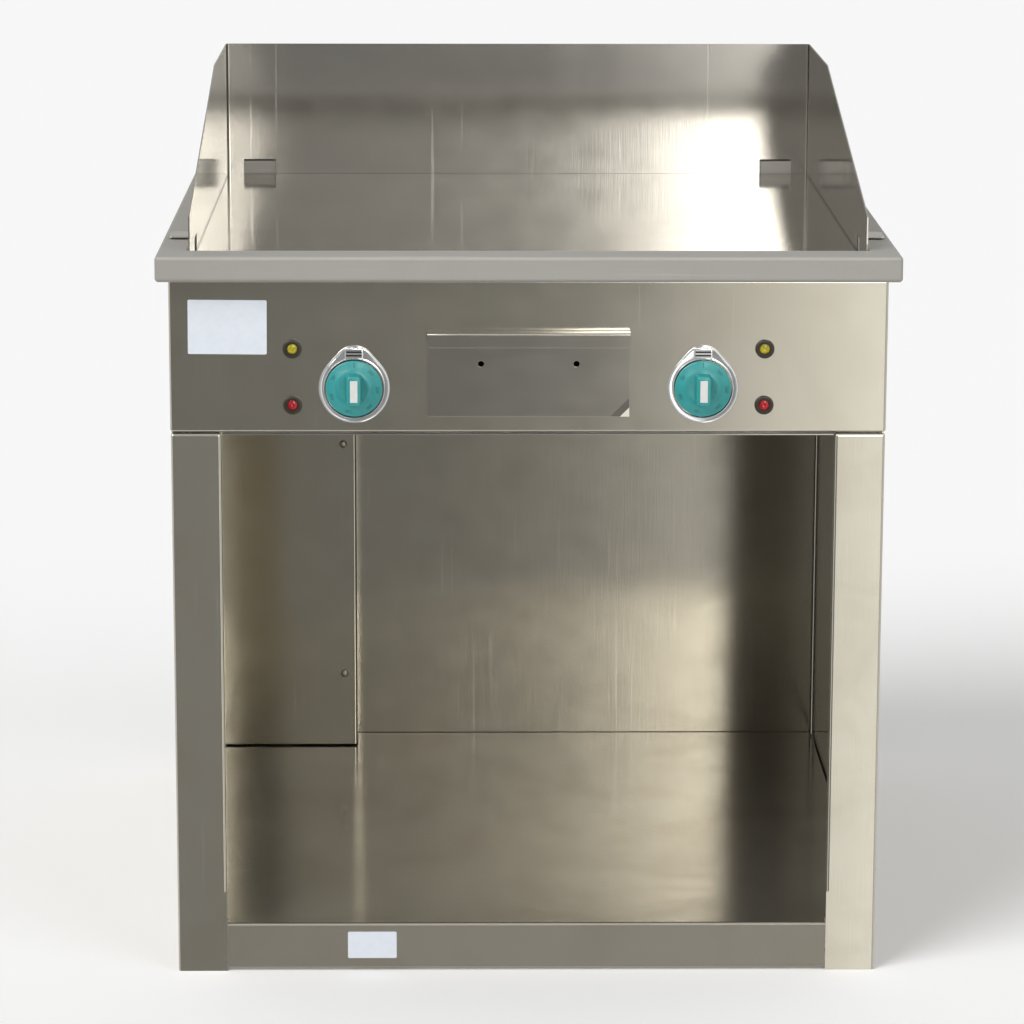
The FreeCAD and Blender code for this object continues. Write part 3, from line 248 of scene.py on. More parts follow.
finish_with(metal("brass", (0.62, 0.43, 0.16), (0.35, 0.24, 0.10), 0.28, 0.6, 0.3, SPANGLE), "bonding_stud")
finish_with(metal("copper", (0.70, 0.34, 0.20), (0.33, 0.17, 0.11), 0.30, 0.8, 0.2, SPANGLE),
            "left_sensing_bulb", "right_sensing_bulb")
finish_with(metal("heated_sheath", (0.20, 0.19, 0.18), (0.12, 0.10, 0.08), 0.42, 0.9, 0.1, SPANGLE),
            "left_heating_element", "right_heating_element")


# -----------------------------------------------------------------------------------------------------------
# Moulded and mineral parts behind the panel: lamp housings and gland in black nylon, the terminal block and
# the thermostat cases in off-white thermoset, and the blanket of mineral wool under the elements.
# -----------------------------------------------------------------------------------------------------------

moulded, given, result = effect(
    "moulded_surface",
    [("Colour", "Color", (0.5, 0.5, 0.5, 1)), ("Worn", "Color", (0.6, 0.6, 0.6, 1)),
     ("Roughness", "Float", 0.4)],
    [("Colour", "Color"), ("Roughness", "Float"), ("Height", "Float")])
texture = noise_at(moulded, (2600, 2600, 2600), detail=2.0)
dulling = noise_at(moulded, (130, 130, 130), detail=4.0, shift=(2, 8, 4))
scuffs = remap(moulded, noise_at(moulded, (420, 420, 160), detail=2.0, shift=(6, 3, 9)), 0.58, 0.72)
faded = mixed(moulded, maths(moulded, "MULTIPLY", remap(moulded, dulling, 0.35, 0.75), 0.35),
              given["Colour"], given["Worn"])
scuffed = mixed(moulded, maths(moulded, "MULTIPLY", scuffs, 0.22), faded, given["Worn"])
moulded.links.new(scuffed, result["Colour"])
moulded.links.new(maths(moulded, "ADD", given["Roughness"], maths(moulded, "MULTIPLY", scuffs, 0.12)),
                  result["Roughness"])
moulded.links.new(texture, result["Height"])


def plastic(name, colour, worn, roughness, relief=0.05, coat=0.0):
    """A moulded plastic, scuffed and a little faded."""
    material = bpy.data.materials.new(name)
    material.use_nodes = True
    tree = material.node_tree
    shader = tree.nodes["Principled BSDF"]
    shader.inputs["Coat Weight"].default_value = coat
    feeds = {"Colour": (*colour, 1), "Worn": (*worn, 1), "Roughness": roughness}
    worn_surface = put(tree, "Group", feeds, node_tree=moulded).outputs
    bump = put(tree, "Bump", {"Height": worn_surface["Height"], "Strength": relief, "Distance": 0.0003})
    tree.links.new(worn_surface["Colour"], shader.inputs["Base Color"])
    tree.links.new(worn_surface["Roughness"], shader.inputs["Roughness"])
    tree.links.new(bump.outputs[0], shader.inputs["Normal"])
    return material


finish_with(plastic("black_nylon", (0.020, 0.020, 0.021), (0.05, 0.05, 0.05), 0.45),
            "lamp_housings", "cable_gland", "gland_locknut")
finish_with(plastic("white_thermoset", (0.74, 0.72, 0.66), (0.58, 0.54, 0.46), 0.5),
            "terminal_block", "left_thermostat", "right_thermostat")
finish_with(plastic("mineral_wool", (0.62, 0.58, 0.44), (0.42, 0.36, 0.25), 0.95, relief=1.0),
            "insulation_blanket")


# -----------------------------------------------------------------------------------------------------------
# Knobs. Each is one moulding of teal plastic: a skirt with a sloping band, a dished hub and a grip bar across
# it. The scale is printed on the band in a darker tone, and a pale plate is pressed into the bar.
# -----------------------------------------------------------------------------------------------------------


def alone(*pieces):
    """Selects just these pieces and makes the first one active."""
    bpy.ops.object.select_all(action="DESELECT")
    for piece in pieces:
        piece.select_set(True)
    bpy.context.view_layer.objects.active = pieces[0]


def pick(piece, wanted, kind="FACE"):
    """In edit mode, selects just the faces, edges or corners that pass the test."""
    bpy.ops.mesh.select_mode(type=kind)
    bpy.ops.mesh.select_all(action="DESELECT")
    bpy.ops.object.mode_set(mode="OBJECT")
    mesh = piece.data
    for part in {"FACE": mesh.polygons, "EDGE": mesh.edges, "VERT": mesh.vertices}[kind]:
        if kind == "EDGE":
            middle = sum((mesh.vertices[i].co for i in part.vertices), Vector()) / 2
        else:
            middle = part.center if kind == "FACE" else part.co
        part.select = wanted(middle, part)
    bpy.ops.object.mode_set(mode="EDIT")


def disc(name, radius, place, sides=96):
    """A round blank that faces the front, left in edit mode with its face selected."""
    bpy.ops.object.select_all(action="DESELECT")
    bpy.ops.mesh.primitive_circle_add(vertices=sides, radius=radius, fill_type="NGON", location=place,
                                      rotation=(math.pi / 2, 0, 0))
    piece = bpy.context.object
    piece.name = name
    bpy.ops.object.transform_apply()
    bpy.ops.object.mode_set(mode="EDIT")
    bpy.ops.mesh.select_all(action="SELECT")
    return piece


def forward(distance):
    """Extrudes the selected face towards the front."""
    bpy.ops.mesh.extrude_region_move(TRANSFORM_OT_translate={"value": (0, -distance, 0)})


def steps(*moves):
    """Insets the selected face again and again, each time inwards and forwards by the given distances."""
    for inwards, forwards in moves:
        bpy.ops.mesh.inset(thickness=inwards, depth=forwards)


def done(piece, material, body, slot, *replaced, sharp=35, second=None, where=None):
    """Closes a piece: outward faces, smooth shading, its finish, its body and the CAD nodes it stands for.
    The faces whose middle passes the test get the second finish."""
    if bpy.context.mode != "OBJECT":
        bpy.ops.object.mode_set(mode="OBJECT")
    alone(piece)
    bpy.ops.object.mode_set(mode="EDIT")
    bpy.ops.mesh.select_all(action="SELECT")
    bpy.ops.mesh.remove_doubles(threshold=0.000001)
    bpy.ops.mesh.normals_make_consistent(inside=False)
    bpy.ops.object.mode_set(mode="OBJECT")
    bpy.ops.object.shade_smooth_by_angle(angle=math.radians(sharp))
    piece.data.materials.clear()
    piece.data.materials.append(material)
    if second:
        piece.data.materials.append(second)
        for face in piece.data.polygons:
            face.material_index = int(where(face.center))
    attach(piece, body)
    if replaced:
        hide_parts(*replaced)
    return piece


def modified(piece, kind, **settings):
    """Adds a modifier and applies it."""
    alone(piece)
    modifier = piece.modifiers.new(kind.lower(), kind)
    for name, value in settings.items():
        setattr(modifier, name, value)
    bpy.ops.object.modifier_apply(modifier=modifier.name)


def copied(piece, name, shift):
    """A copy with its own mesh, moved by the shift."""
    twin = piece.copy()
    twin.data = piece.data.copy()
    twin.name = name
    twin.parent = None
    bpy.context.scene.collection.objects.link(twin)
    twin.data.transform(Matrix.Translation(shift))
    return twin


teal = plastic("teal_knob", (0.014, 0.265, 0.262), (0.026, 0.35, 0.345), 0.34, coat=0.2)
teal_print = plastic("dark_teal_print", (0.010, 0.085, 0.085), (0.02, 0.14, 0.14), 0.5)
insert_plastic = plastic("pale_insert", (0.66, 0.67, 0.64), (0.52, 0.53, 0.50), 0.42)
finish_with(insert_plastic, "left_knob_insert", "right_knob_insert")

knob_joints = {joint["child"]: Vector(joint["pos_m"]) for joint in frame["joints"]
               if "knob" in joint["child"]}
LEFT_KNOB, RIGHT_KNOB = knob_joints["left_knob"], knob_joints["right_knob"]
SKIRT_RADIUS, SKIRT_BACK = 0.0305, 0.0025
BAR_BACK, BAR_HALF, BAR_FOOT, BAR_REACH = 0.0072, 0.0074, 0.0092, 0.0172
KNOB_TIP = 0.025
NEAR = 0.0001

skirt = disc("left_knob_moulding", SKIRT_RADIUS, LEFT_KNOB - Vector((0, SKIRT_BACK, 0)))
forward(0.0040)
steps((0.0005, 0.0006), (0.0007, 0.0003), (0.0080, 0.0024), (0.0005, 0.0004), (0.0050, 0.0009),
      (0.0010, -0.0001))
bpy.ops.object.mode_set(mode="OBJECT")

bar_length = KNOB_TIP - BAR_BACK
bpy.ops.object.select_all(action="DESELECT")
bpy.ops.mesh.primitive_cube_add(size=1, location=LEFT_KNOB - Vector((0, BAR_BACK + bar_length / 2, 0)))
bar = bpy.context.object
bpy.ops.object.transform_apply()
bpy.ops.object.mode_set(mode="EDIT")
bpy.ops.transform.resize(value=(2 * BAR_FOOT, bar_length, 2 * BAR_REACH))
pick(bar, lambda middle, face: middle.y < LEFT_KNOB.y - KNOB_TIP + NEAR)
bpy.ops.transform.resize(value=(BAR_HALF / BAR_FOOT, 1, 0.93))
pick(bar, lambda middle, edge: abs(middle.y - LEFT_KNOB.y + BAR_BACK) > NEAR
     and abs(middle.x - LEFT_KNOB.x) > 0.001 and middle.y > LEFT_KNOB.y - KNOB_TIP + NEAR, "EDGE")
bpy.ops.mesh.bevel(offset=0.0045, segments=5)
pick(bar, lambda middle, edge: middle.y < LEFT_KNOB.y - KNOB_TIP + NEAR, "EDGE")
bpy.ops.mesh.bevel(offset=0.0012, segments=3)
bpy.ops.object.mode_set(mode="OBJECT")
alone(skirt, bar)
bpy.ops.object.join()
right_skirt = copied(skirt, "right_knob_moulding", RIGHT_KNOB - LEFT_KNOB)
done(skirt, teal, "left_knob", "knob_plastic", "left_knob")
done(right_skirt, teal, "right_knob", "knob_plastic", "right_knob")

# the printed scale: six plain numbers and the tick for off, flush on the sloping band
SCALE_RADIUS, NUMBER_SIZE, OFF_RADIUS, OFF_SIZE = 0.0252, 0.0050, 0.0258, 0.0085
BAND_SLOPE, BAND_FRONT, BAND_RADIUS, PRINT_HEIGHT = 0.30, 0.0049, 0.0293, 0.00006
# each number and how far round the knob it stands, in degrees
numbers = {50: 299, 100: 250, 150: 193, 200: 139, 250: 92, 300: 45}
marks = [(str(number), angle, SCALE_RADIUS, NUMBER_SIZE) for number, angle in numbers.items()]
marks.append(("I", 0, OFF_RADIUS, OFF_SIZE))
printed = []
for text, angle, radius, size in marks:
    bpy.ops.object.select_all(action="DESELECT")
    bpy.ops.object.text_add(location=(0, 0, 0))
    mark = bpy.context.object
    mark.data.body = text
    mark.data.size = size
    mark.data.align_x = "CENTER"
    mark.data.align_y = "CENTER"
    mark.data.extrude = PRINT_HEIGHT
    bpy.ops.object.convert(target="MESH")
    band = LEFT_KNOB - Vector((0, SKIRT_BACK + BAND_FRONT + (BAND_RADIUS - radius) * BAND_SLOPE, 0))
    turn = Matrix.Rotation(math.radians(angle), 4, "Y")
    stand = Matrix.Rotation(math.pi / 2 - math.atan(BAND_SLOPE), 4, "X")
    mark.data.transform(Matrix.Translation(band) @ turn @ Matrix.Translation((0, 0, radius)) @ stand)
    printed.append(mark)
alone(*printed)
bpy.ops.object.join()
scale = bpy.context.object
scale.name = "left_knob_scale"
right_scale = copied(scale, "right_knob_scale", RIGHT_KNOB - LEFT_KNOB)
done(scale, teal_print, "left_knob", "knob_plastic")
done(right_scale, teal_print, "right_knob", "knob_plastic")


# -----------------------------------------------------------------------------------------------------------
# Bezels. An egg-shaped flange of chromed plastic round each knob, with a rolled outer edge, a groove and a
# bright rim at the bore. A housing at its top has two slots, near-black inside as painted shade, and the
# scale is read below it.
# -----------------------------------------------------------------------------------------------------------

chrome = metal("chromed_plastic", (0.78, 0.79, 0.80), (0.60, 0.61, 0.62), 0.05, 0.3, 0.2, (300, 300, 300),
               0.01)
# the insides of the two slots get a near-black finish: painted shade for the depth of the slots
painted_slot_shade = plastic("painted_slot_shade", (0.012, 0.012, 0.013), (0.03, 0.03, 0.03), 0.3)
FLANGE_RADIUS, CROWN_RADIUS, CROWN_RISE, BORE_RADIUS = 0.0385, 0.0230, 0.0235, 0.0315
lean = math.asin((FLANGE_RADIUS - CROWN_RADIUS) / CROWN_RISE)
crown_ends = math.atan2(CROWN_RADIUS * math.cos(lean), CROWN_RISE + CROWN_RADIUS * math.sin(lean))


def egg_reach(angle):
    """How far the flange reaches from the knob's axis, at that angle from straight up."""
    if angle < crown_ends:
        sideways = CROWN_RISE * math.sin(angle)
        return CROWN_RISE * math.cos(angle) + math.sqrt(CROWN_RADIUS ** 2 - sideways ** 2)
    if angle < math.pi / 2 - lean:
        return FLANGE_RADIUS / math.cos(math.pi / 2 - lean - angle)
    return FLANGE_RADIUS


flange = disc("left_knob_bezel_chrome", FLANGE_RADIUS, LEFT_KNOB, sides=128)
bpy.ops.object.mode_set(mode="OBJECT")
for corner in flange.data.vertices:
    across, up = corner.co.x - LEFT_KNOB.x, corner.co.z - LEFT_KNOB.z
    angle = math.atan2(abs(across), up)
    grow = egg_reach(angle) / FLANGE_RADIUS
    corner.co.x, corner.co.z = LEFT_KNOB.x + across * grow, LEFT_KNOB.z + up * grow
bpy.ops.object.mode_set(mode="EDIT")
forward(0.0010)
steps((0.0003, 0.0010), (0.0005, 0.0006), (0.0008, 0.0002), (0.0006, -0.0005), (0.0005, -0.0010),
      (0.0014, -0.0001))
bpy.ops.object.mode_set(mode="OBJECT")
bore = disc("bore", BORE_RADIUS, LEFT_KNOB + Vector((0, 0.001, 0)), sides=128)
forward(0.012)
bpy.ops.mesh.select_all(action="SELECT")
bpy.ops.mesh.normals_make_consistent(inside=False)
bpy.ops.object.mode_set(mode="OBJECT")
alone(flange)
bpy.ops.object.mode_set(mode="EDIT")
bpy.ops.mesh.select_all(action="SELECT")
bpy.ops.mesh.normals_make_consistent(inside=False)
bpy.ops.object.mode_set(mode="OBJECT")
modified(flange, "BOOLEAN", object=bore, operation="DIFFERENCE", solver="EXACT")
bpy.data.objects.remove(bore)

rim = disc("rim", BORE_RADIUS + 0.0016, LEFT_KNOB - Vector((0, 0.0012, 0)), sides=128)
forward(0.0036)
steps((0.0002, 0.0007), (0.0004, 0.0004), (0.0004, 0.0), (0.0003, -0.0004), (0.0003, -0.0046))
bpy.ops.mesh.delete(type="FACE")
pick(rim, lambda middle, face: middle.y > LEFT_KNOB.y - 0.00121 and len(face.vertices) > 8)
bpy.ops.mesh.delete(type="FACE")
pick(rim, lambda middle, edge: middle.y > LEFT_KNOB.y - 0.0013, "EDGE")
bpy.ops.mesh.bridge_edge_loops()
bpy.ops.object.mode_set(mode="OBJECT")

HOUSING_LOW, HOUSING_HIGH, HOUSING_HALF, HOUSING_FRONT = 0.0318, 0.0440, 0.0098, 0.0056
HOUSING_WALL, SLOT_ROWS, SLOT_DEPTH, SLOT_FACE_AREA = 0.0014, 5, 0.0014, 0.0000095
bpy.ops.object.select_all(action="DESELECT")
bpy.ops.mesh.primitive_cube_add(size=1, location=LEFT_KNOB + Vector(
    (0, -HOUSING_FRONT / 2, (HOUSING_LOW + HOUSING_HIGH) / 2)))
housing = bpy.context.object
bpy.ops.object.mode_set(mode="EDIT")
bpy.ops.transform.resize(value=(2 * HOUSING_HALF, HOUSING_FRONT, HOUSING_HIGH - HOUSING_LOW))
bpy.ops.object.mode_set(mode="OBJECT")
bpy.ops.object.transform_apply()
bpy.ops.object.mode_set(mode="EDIT")
pick(housing, lambda middle, face: face.normal.y < -0.5)
bpy.ops.mesh.inset(thickness=HOUSING_WALL, depth=0.0)
bpy.ops.mesh.subdivide(number_cuts=SLOT_ROWS - 1)
rows_low = LEFT_KNOB.z + HOUSING_LOW + HOUSING_WALL
rows_height = HOUSING_HIGH - HOUSING_LOW - 2 * HOUSING_WALL
slot_levels = [rows_low + rows_height * (row + 0.5) / SLOT_ROWS for row in (1, 3)]


def in_slot(middle, face):
    front = face.normal.y < -0.5 and face.area < SLOT_FACE_AREA
    return front and min(abs(middle.z - level) for level in slot_levels) < 0.0003


pick(housing, in_slot)
bpy.ops.mesh.extrude_region_move(TRANSFORM_OT_translate={"value": (0, SLOT_DEPTH, 0)})
pick(housing, lambda middle, edge: middle.y < LEFT_KNOB.y - HOUSING_FRONT + NEAR
     and (abs(abs(middle.x - LEFT_KNOB.x) - HOUSING_HALF) < NEAR
          or middle.z > LEFT_KNOB.z + HOUSING_HIGH - NEAR), "EDGE")
bpy.ops.mesh.bevel(offset=0.0010, segments=3)
bpy.ops.object.mode_set(mode="OBJECT")

alone(flange, rim, housing)
bpy.ops.object.join()
right_flange = copied(flange, "right_knob_bezel_chrome", RIGHT_KNOB - LEFT_KNOB)


def slot_floor(knob):
    """A test for the faces at the bottom of the two slots."""
    front = knob.y - HOUSING_FRONT

    def at_bottom(middle):
        deep = front + 0.0002 < middle.y < front + 0.0016
        between = abs(middle.x - knob.x) < HOUSING_HALF - 0.001
        return deep and between and any(abs(middle.z - level) < 0.0011 for level in slot_levels)

    return at_bottom


# the faces inside the slots take the near-black finish, which is painted shade
done(flange, chrome, "cabinet", "chrome", "left_knob_bezel", second=painted_slot_shade, where=slot_floor(LEFT_KNOB))
done(right_flange, chrome, "cabinet", "chrome", "right_knob_bezel", second=painted_slot_shade,
     where=slot_floor(RIGHT_KNOB))


# -----------------------------------------------------------------------------------------------------------
# Signal lamps. A dark moulded bezel with a stepped recess is pushed through the panel, and holds a small
# domed lens: yellow above, red below.
# -----------------------------------------------------------------------------------------------------------

lamp_brown = plastic("dark_brown_bezel", (0.020, 0.014, 0.007), (0.05, 0.04, 0.02), 0.42)
BEZEL_RADIUS, LENS_RADIUS = 0.0105, 0.0055


def lens_plastic(name, colour, deep):
    """Clear coloured plastic over a dim reflector: deeper towards the pits of its faceted back."""
    material = bpy.data.materials.new(name)
    material.use_nodes = True
    tree = material.node_tree
    shader = tree.nodes["Principled BSDF"]
    shader.inputs["Roughness"].default_value = 0.22
    shader.inputs["Coat Weight"].default_value = 0.1
    facets = remap(tree, noise_at(tree, (520, 520, 520), detail=1.0), 0.35, 0.65)
    tree.links.new(mixed(tree, facets, (*deep, 1), (*colour, 1)), shader.inputs["Base Color"])
    return material


lens_finish = {"yellow": lens_plastic("yellow_lens", (0.50, 0.42, 0.004), (0.26, 0.21, 0.002)),
               "red": lens_plastic("red_lens", (0.50, 0.002, 0.010), (0.24, 0.001, 0.004))}
rims = []
for colour, finish in lens_finish.items():
    low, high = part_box(colour + "_lamp_lenses")
    level = (low.z + high.z) / 2
    lenses = []
    for side, across in (("left", low.x + LENS_RADIUS), ("right", high.x - LENS_RADIUS)):
        place = Vector((across, LEFT_KNOB.y, level))
        rim = disc(side + "_" + colour + "_lamp_bezel", BEZEL_RADIUS - 0.0002, place, sides=64)
        forward(0.0014)
        steps((0.0003, 0.0008), (0.0005, 0.0005), (0.0006, 0.0002), (0.0010, 0.0), (0.0003, -0.0004),
              (0.0002, -0.0008), (0.0009, 0.0), (0.0002, 0.0002), (0.0003, 0.0), (0.0002, -0.0003),
              (0.0002, -0.0010))
        rims.append(rim)
        bpy.ops.object.mode_set(mode="OBJECT")
        lens = disc(colour + "_lens", LENS_RADIUS, place + Vector((0, 0.0002, 0)), sides=48)
        forward(0.0009)
        steps((0.0004, 0.0003), (0.0010, 0.0004), (0.0013, 0.00025), (0.0011, 0.0001), (0.0004, -0.0002))
        bpy.ops.object.mode_set(mode="OBJECT")
        lenses.append(lens)
    alone(*lenses)
    bpy.ops.object.join()
    lenses[0].name = colour + "_lamp_lens_pair"
    done(lenses[0], finish, "cabinet", colour + "_lens", colour + "_lamp_lenses")
alone(*rims)
bpy.ops.object.join()
rims[0].name = "lamp_bezel_rings"
done(rims[0], lamp_brown, "cabinet", "lamp_bezel_plastic", "lamp_bezels")


# -----------------------------------------------------------------------------------------------------------
# Grease drawer. Its front is one sheet of 1.5 mm stainless steel, turned forward over the top and down again
# as a grip, with two small round holes. Its lower right corner is creased.
# -----------------------------------------------------------------------------------------------------------

drawer_steel = metal("satin_steel_drawer", (0.48, 0.46, 0.41), (0.36, 0.33, 0.28), 0.10, 0.3, 0.15, ALONG,
                     relief=0.005, metallic=0.97)
finish_with(drawer_steel, "drawer_pan")
front_low, front_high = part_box("drawer_front")
SHEET, GRIP_DROP, FOLD_ROUND, EDGE_ROUND = 0.0015, 0.0160, 0.0024, 0.00035
HOLE_RADIUS, HOLE_PLACE, HOLE_HEIGHT = 0.0033, 0.0515, 0.6850
bpy.ops.object.select_all(action="DESELECT")
bpy.ops.mesh.primitive_plane_add(size=1, location=(0, front_high.y, (front_low.z + front_high.z) / 2),
                                 rotation=(-math.pi / 2, 0, 0))
drawer = bpy.context.object
drawer.name = "drawer_front_sheet"
bpy.ops.object.transform_apply()
bpy.ops.object.mode_set(mode="EDIT")
bpy.ops.transform.resize(value=(front_high.x - front_low.x, 1, front_high.z - front_low.z))
pick(drawer, lambda middle, edge: middle.z > front_high.z - NEAR, "EDGE")
for fold in ((0, front_low.y - front_high.y, 0), (0, 0, -GRIP_DROP)):
    bpy.ops.mesh.extrude_region_move(TRANSFORM_OT_translate={"value": fold})
pick(drawer, lambda middle, edge: middle.z > front_high.z - NEAR and abs(middle.x) < 0.01, "EDGE")
bpy.ops.mesh.bevel(offset=FOLD_ROUND, segments=4)
grip_low = front_high.z - GRIP_DROP
pick(drawer, lambda place, corner: abs(place.z - grip_low) < NEAR
     and place.y < front_low.y + NEAR, "VERT")
bpy.ops.mesh.bevel(offset=0.0060, segments=4, affect="VERTICES")
CREASE, RIDGE, CREASE_PUSH = 0.0210, 0.0105, 0.0008
low_corner = Vector((front_high.x, front_high.y, front_low.z))
for reach in (CREASE, RIDGE):
    bpy.ops.mesh.select_all(action="SELECT")
    bpy.ops.mesh.bisect(plane_co=low_corner - Vector((reach, 0, 0)), plane_no=(1, 0, -1.0))
pick(drawer, lambda place, corner: place.z < low_corner.z + 0.03
     and abs((low_corner.x - place.x) + (place.z - low_corner.z) - RIDGE) < 0.0002, "VERT")
bpy.ops.transform.translate(value=(0, -CREASE_PUSH, 0))
bpy.ops.mesh.select_all(action="SELECT")
bpy.ops.mesh.normals_make_consistent(inside=False)
bpy.ops.object.mode_set(mode="OBJECT")
alone(drawer)
back_face = max(drawer.data.polygons, key=lambda face: face.area)
if back_face.normal.y < 0:
    bpy.ops.object.mode_set(mode="EDIT")
    bpy.ops.mesh.select_all(action="SELECT")
    bpy.ops.mesh.flip_normals()
    bpy.ops.object.mode_set(mode="OBJECT")
modified(drawer, "SOLIDIFY", thickness=SHEET, offset=-1.0, use_even_offset=True)
for side in (-1, 1):
    hole = disc("hole", HOLE_RADIUS, (side * HOLE_PLACE, front_high.y + 0.005, HOLE_HEIGHT), sides=40)
    forward(0.012)
    bpy.ops.mesh.select_all(action="SELECT")
    bpy.ops.mesh.normals_make_consistent(inside=False)
    bpy.ops.object.mode_set(mode="OBJECT")
    modified(drawer, "BOOLEAN", object=hole, operation="DIFFERENCE", solver="EXACT")
    bpy.data.objects.remove(hole)
modified(drawer, "BEVEL", width=EDGE_ROUND, segments=2, limit_method="ANGLE", angle_limit=math.radians(50))
done(drawer, drawer_steel, "grease_drawer", "satin_steel", "drawer_front")
for face in drawer.data.polygons:
    if abs(face.normal.y) > 0.9:
        face.use_smooth = False


# -----------------------------------------------------------------------------------------------------------
# Labels. Two thin film labels, stuck on the panel and on the front rail. They are blank.
# -----------------------------------------------------------------------------------------------------------

label_film = plastic("white_label_film", (0.70, 0.74, 0.80), (0.62, 0.66, 0.72), 0.38, relief=0.02, coat=0.3)
FILM = 0.0002
labels = {
    "panel_label": {"across": -0.3241, "up": 0.7247, "face": LEFT_KNOB.y, "size": (0.0848, 0.0590),
                    "lean": 0.4},
    "rail_label": {"across": -0.1715, "up": 0.0300, "face": rail_front, "size": (0.0540, 0.0305),
                   "lean": 0.0},
}
for name, facts in labels.items():
    place = (facts["across"], facts["face"] - FILM, facts["up"])
    bpy.ops.object.select_all(action="DESELECT")
    bpy.ops.mesh.primitive_plane_add(size=1, location=place,
                                     rotation=(math.pi / 2, math.radians(facts["lean"]), 0))
    label = bpy.context.object
    label.name = name
    label.scale = (*facts["size"], 1)
    bpy.ops.object.transform_apply()
    bpy.ops.object.mode_set(mode="EDIT")
    bpy.ops.mesh.select_all(action="SELECT")
    bpy.ops.mesh.bevel(offset=0.0016, segments=4, affect="VERTICES")
    bpy.ops.object.mode_set(mode="OBJECT")
    modified(label, "SOLIDIFY", thickness=FILM * 0.9, offset=-1.0)
    done(label, label_film, "cabinet", "white_plastic")


# -----------------------------------------------------------------------------------------------------------
# Floor, light and camera.
# -----------------------------------------------------------------------------------------------------------

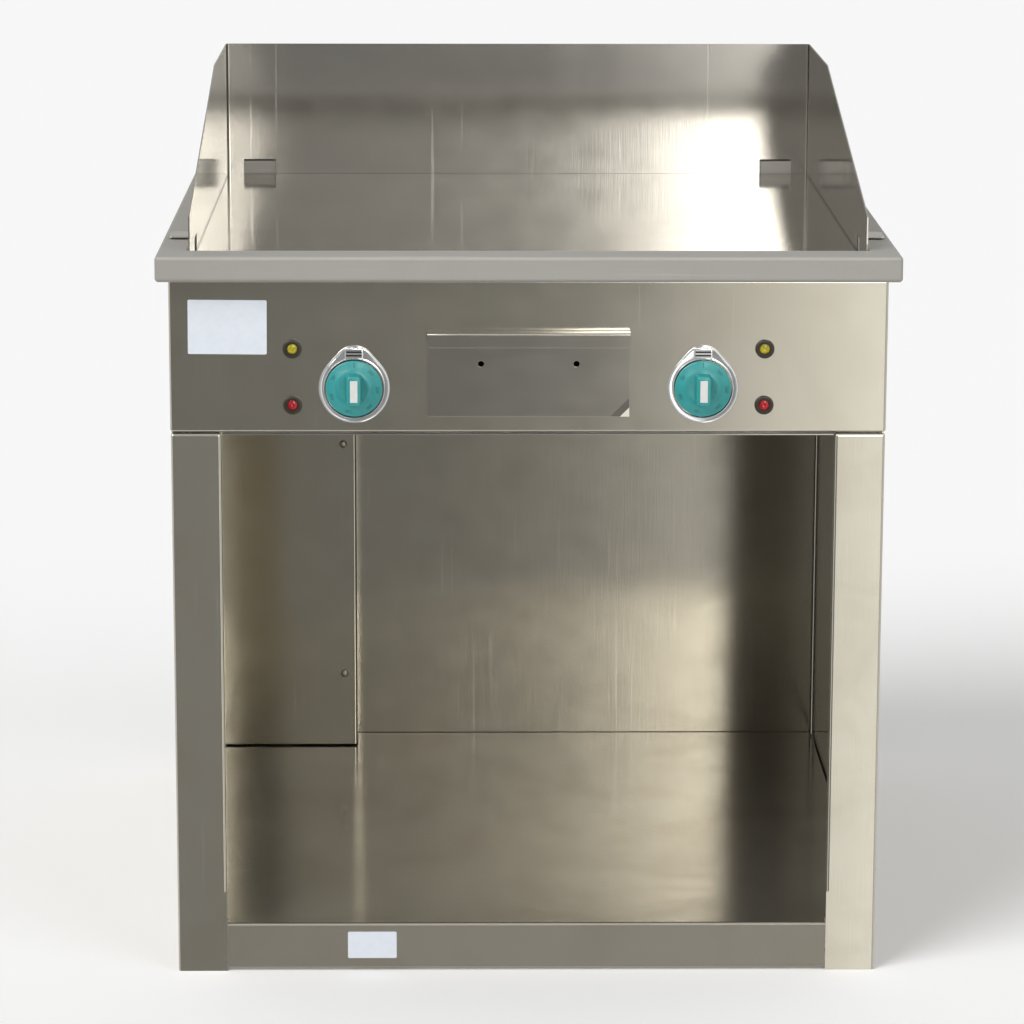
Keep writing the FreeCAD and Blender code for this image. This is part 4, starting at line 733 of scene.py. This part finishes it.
pale = bpy.data.materials.new("pale_ground")
pale.use_nodes = True
pale.node_tree.nodes["Principled BSDF"].inputs["Base Color"].default_value = (0.93, 0.93, 0.93, 1)
pale.node_tree.nodes["Principled BSDF"].inputs["Roughness"].default_value = 0.9
bpy.ops.mesh.primitive_plane_add(size=80, location=(0, 0, cad_low.z))
ground = bpy.context.object
ground.name = "ground"
ground.visible_glossy = False
ground.data.materials.append(pale)
ground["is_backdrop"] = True

# Two cards stand far in front and far behind, and show only in glossy surfaces. The front one is dark on the
# left and bright on the right, most of all above the horizon. The one behind is an even grey.
CARD_AWAY, CARD_SIDE, CARD_RISE = 30.0, 36.0, 26.0
REAR_GLOW, LOW_GLOW, HIGH_GLOW, GLOW_LIMIT = 0.5, 1.55, 170.0, 6.0
for name, place in (("front_card", -CARD_AWAY), ("rear_card", CARD_AWAY)):
    bpy.ops.object.select_all(action="DESELECT")
    bpy.ops.mesh.primitive_plane_add(size=2, location=(0, place, 0), rotation=(-math.pi / 2, 0, 0))
    card = bpy.context.object
    card.name = name
    card.scale = (CARD_SIDE, CARD_RISE, 1)
    bpy.ops.object.transform_apply()
    card.visible_camera = False
    card.visible_diffuse = False
    card.visible_transmission = False
    card.visible_shadow = False
    graded = bpy.data.materials.new(name)
    graded.use_nodes = True
    tree = graded.node_tree
    tree.nodes.clear()
    strength = REAR_GLOW
    if name == "front_card":
        spot = put(tree, "SeparateXYZ", {0: put(tree, "TexCoord").outputs["Object"]}).outputs
        side = remap(tree, spot["X"], 0.033 * CARD_AWAY, 0.135 * CARD_AWAY)
        above = remap(tree, spot["Z"], -0.01 * CARD_AWAY, 0.07 * CARD_AWAY)
        high = remap(tree, spot["Z"], 0.17 * CARD_AWAY, 0.25 * CARD_AWAY, 1.0, 0.3)
        low_glow = maths(tree, "MULTIPLY", side, LOW_GLOW)
        steep_side = maths(tree, "POWER", side, 3.0)
        high_glow = maths(tree, "MULTIPLY", steep_side, maths(tree, "MULTIPLY", above, HIGH_GLOW))
        high_glow = maths(tree, "MULTIPLY", high_glow, high)
        bright = maths(tree, "MINIMUM", maths(tree, "ADD", low_glow, high_glow), GLOW_LIMIT)
        fading = remap(tree, spot["X"], 0.19 * CARD_AWAY, 0.36 * CARD_AWAY, 1.0, 0.06)
        rest = remap(tree, spot["X"], 0.19 * CARD_AWAY, 0.36 * CARD_AWAY, 0.23, 0.60)
        rest = maths(tree, "ADD", rest, maths(tree, "MULTIPLY", above, 0.16))
        strength = maths(tree, "ADD", maths(tree, "MULTIPLY", bright, fading), rest)
    glow = put(tree, "Emission", {"Color": (1.0, 0.985, 0.95, 1), "Strength": strength})
    tree.links.new(glow.outputs[0], put(tree, "OutputMaterial").inputs["Surface"])
    card.data.materials.append(graded)
    card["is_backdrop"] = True

world = bpy.data.worlds.new("studio")
bpy.context.scene.world = world
world.use_nodes = True
tree = world.node_tree
backdrop = tree.nodes["Background"]
path = put(tree, "LightPath").outputs
seen = maths(tree, "MAXIMUM", path["Is Camera Ray"], path["Is Glossy Ray"])
seen = maths(tree, "MAXIMUM", seen, path["Is Transmission Ray"])
DIFFUSE_LEVEL, SEEN_LEVEL = 0.52, 0.95
tree.links.new(remap(tree, seen, 0.0, 1.0, DIFFUSE_LEVEL, SEEN_LEVEL), backdrop.inputs["Strength"])
backdrop.inputs["Color"].default_value = (1, 1, 1, 1)


def soft_sun(name, toward, strength):
    """A far, wide studio light that shines along the given direction."""
    bpy.ops.object.light_add(type="SUN", location=(0, 0, 3))
    lamp = bpy.context.object
    lamp.name = name
    lamp.data.energy = strength
    lamp.data.angle = math.radians(35)
    lamp.rotation_euler = Vector(toward).to_track_quat("-Z", "Y").to_euler()


soft_sun("key_light", (1.0, 0.9, -1.2), 1.9)
soft_sun("fill_light", (-0.9, 0.8, -1.0), 0.4)

LENS = 144.2
CAMERA_PLACE = (-0.0799, -4.7596, 1.455)
CAMERA_TILT, CAMERA_TURN, CAMERA_ROLL = 0.2112, 0.0138, -0.0024
bpy.ops.object.camera_add(location=CAMERA_PLACE,
                          rotation=(math.pi / 2 - CAMERA_TILT, CAMERA_ROLL, -CAMERA_TURN))
camera = bpy.context.object
camera.data.lens = LENS
camera.data.sensor_width = 36
bpy.context.scene.camera = camera
bpy.context.scene.view_settings.view_transform = "Standard"

low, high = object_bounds()
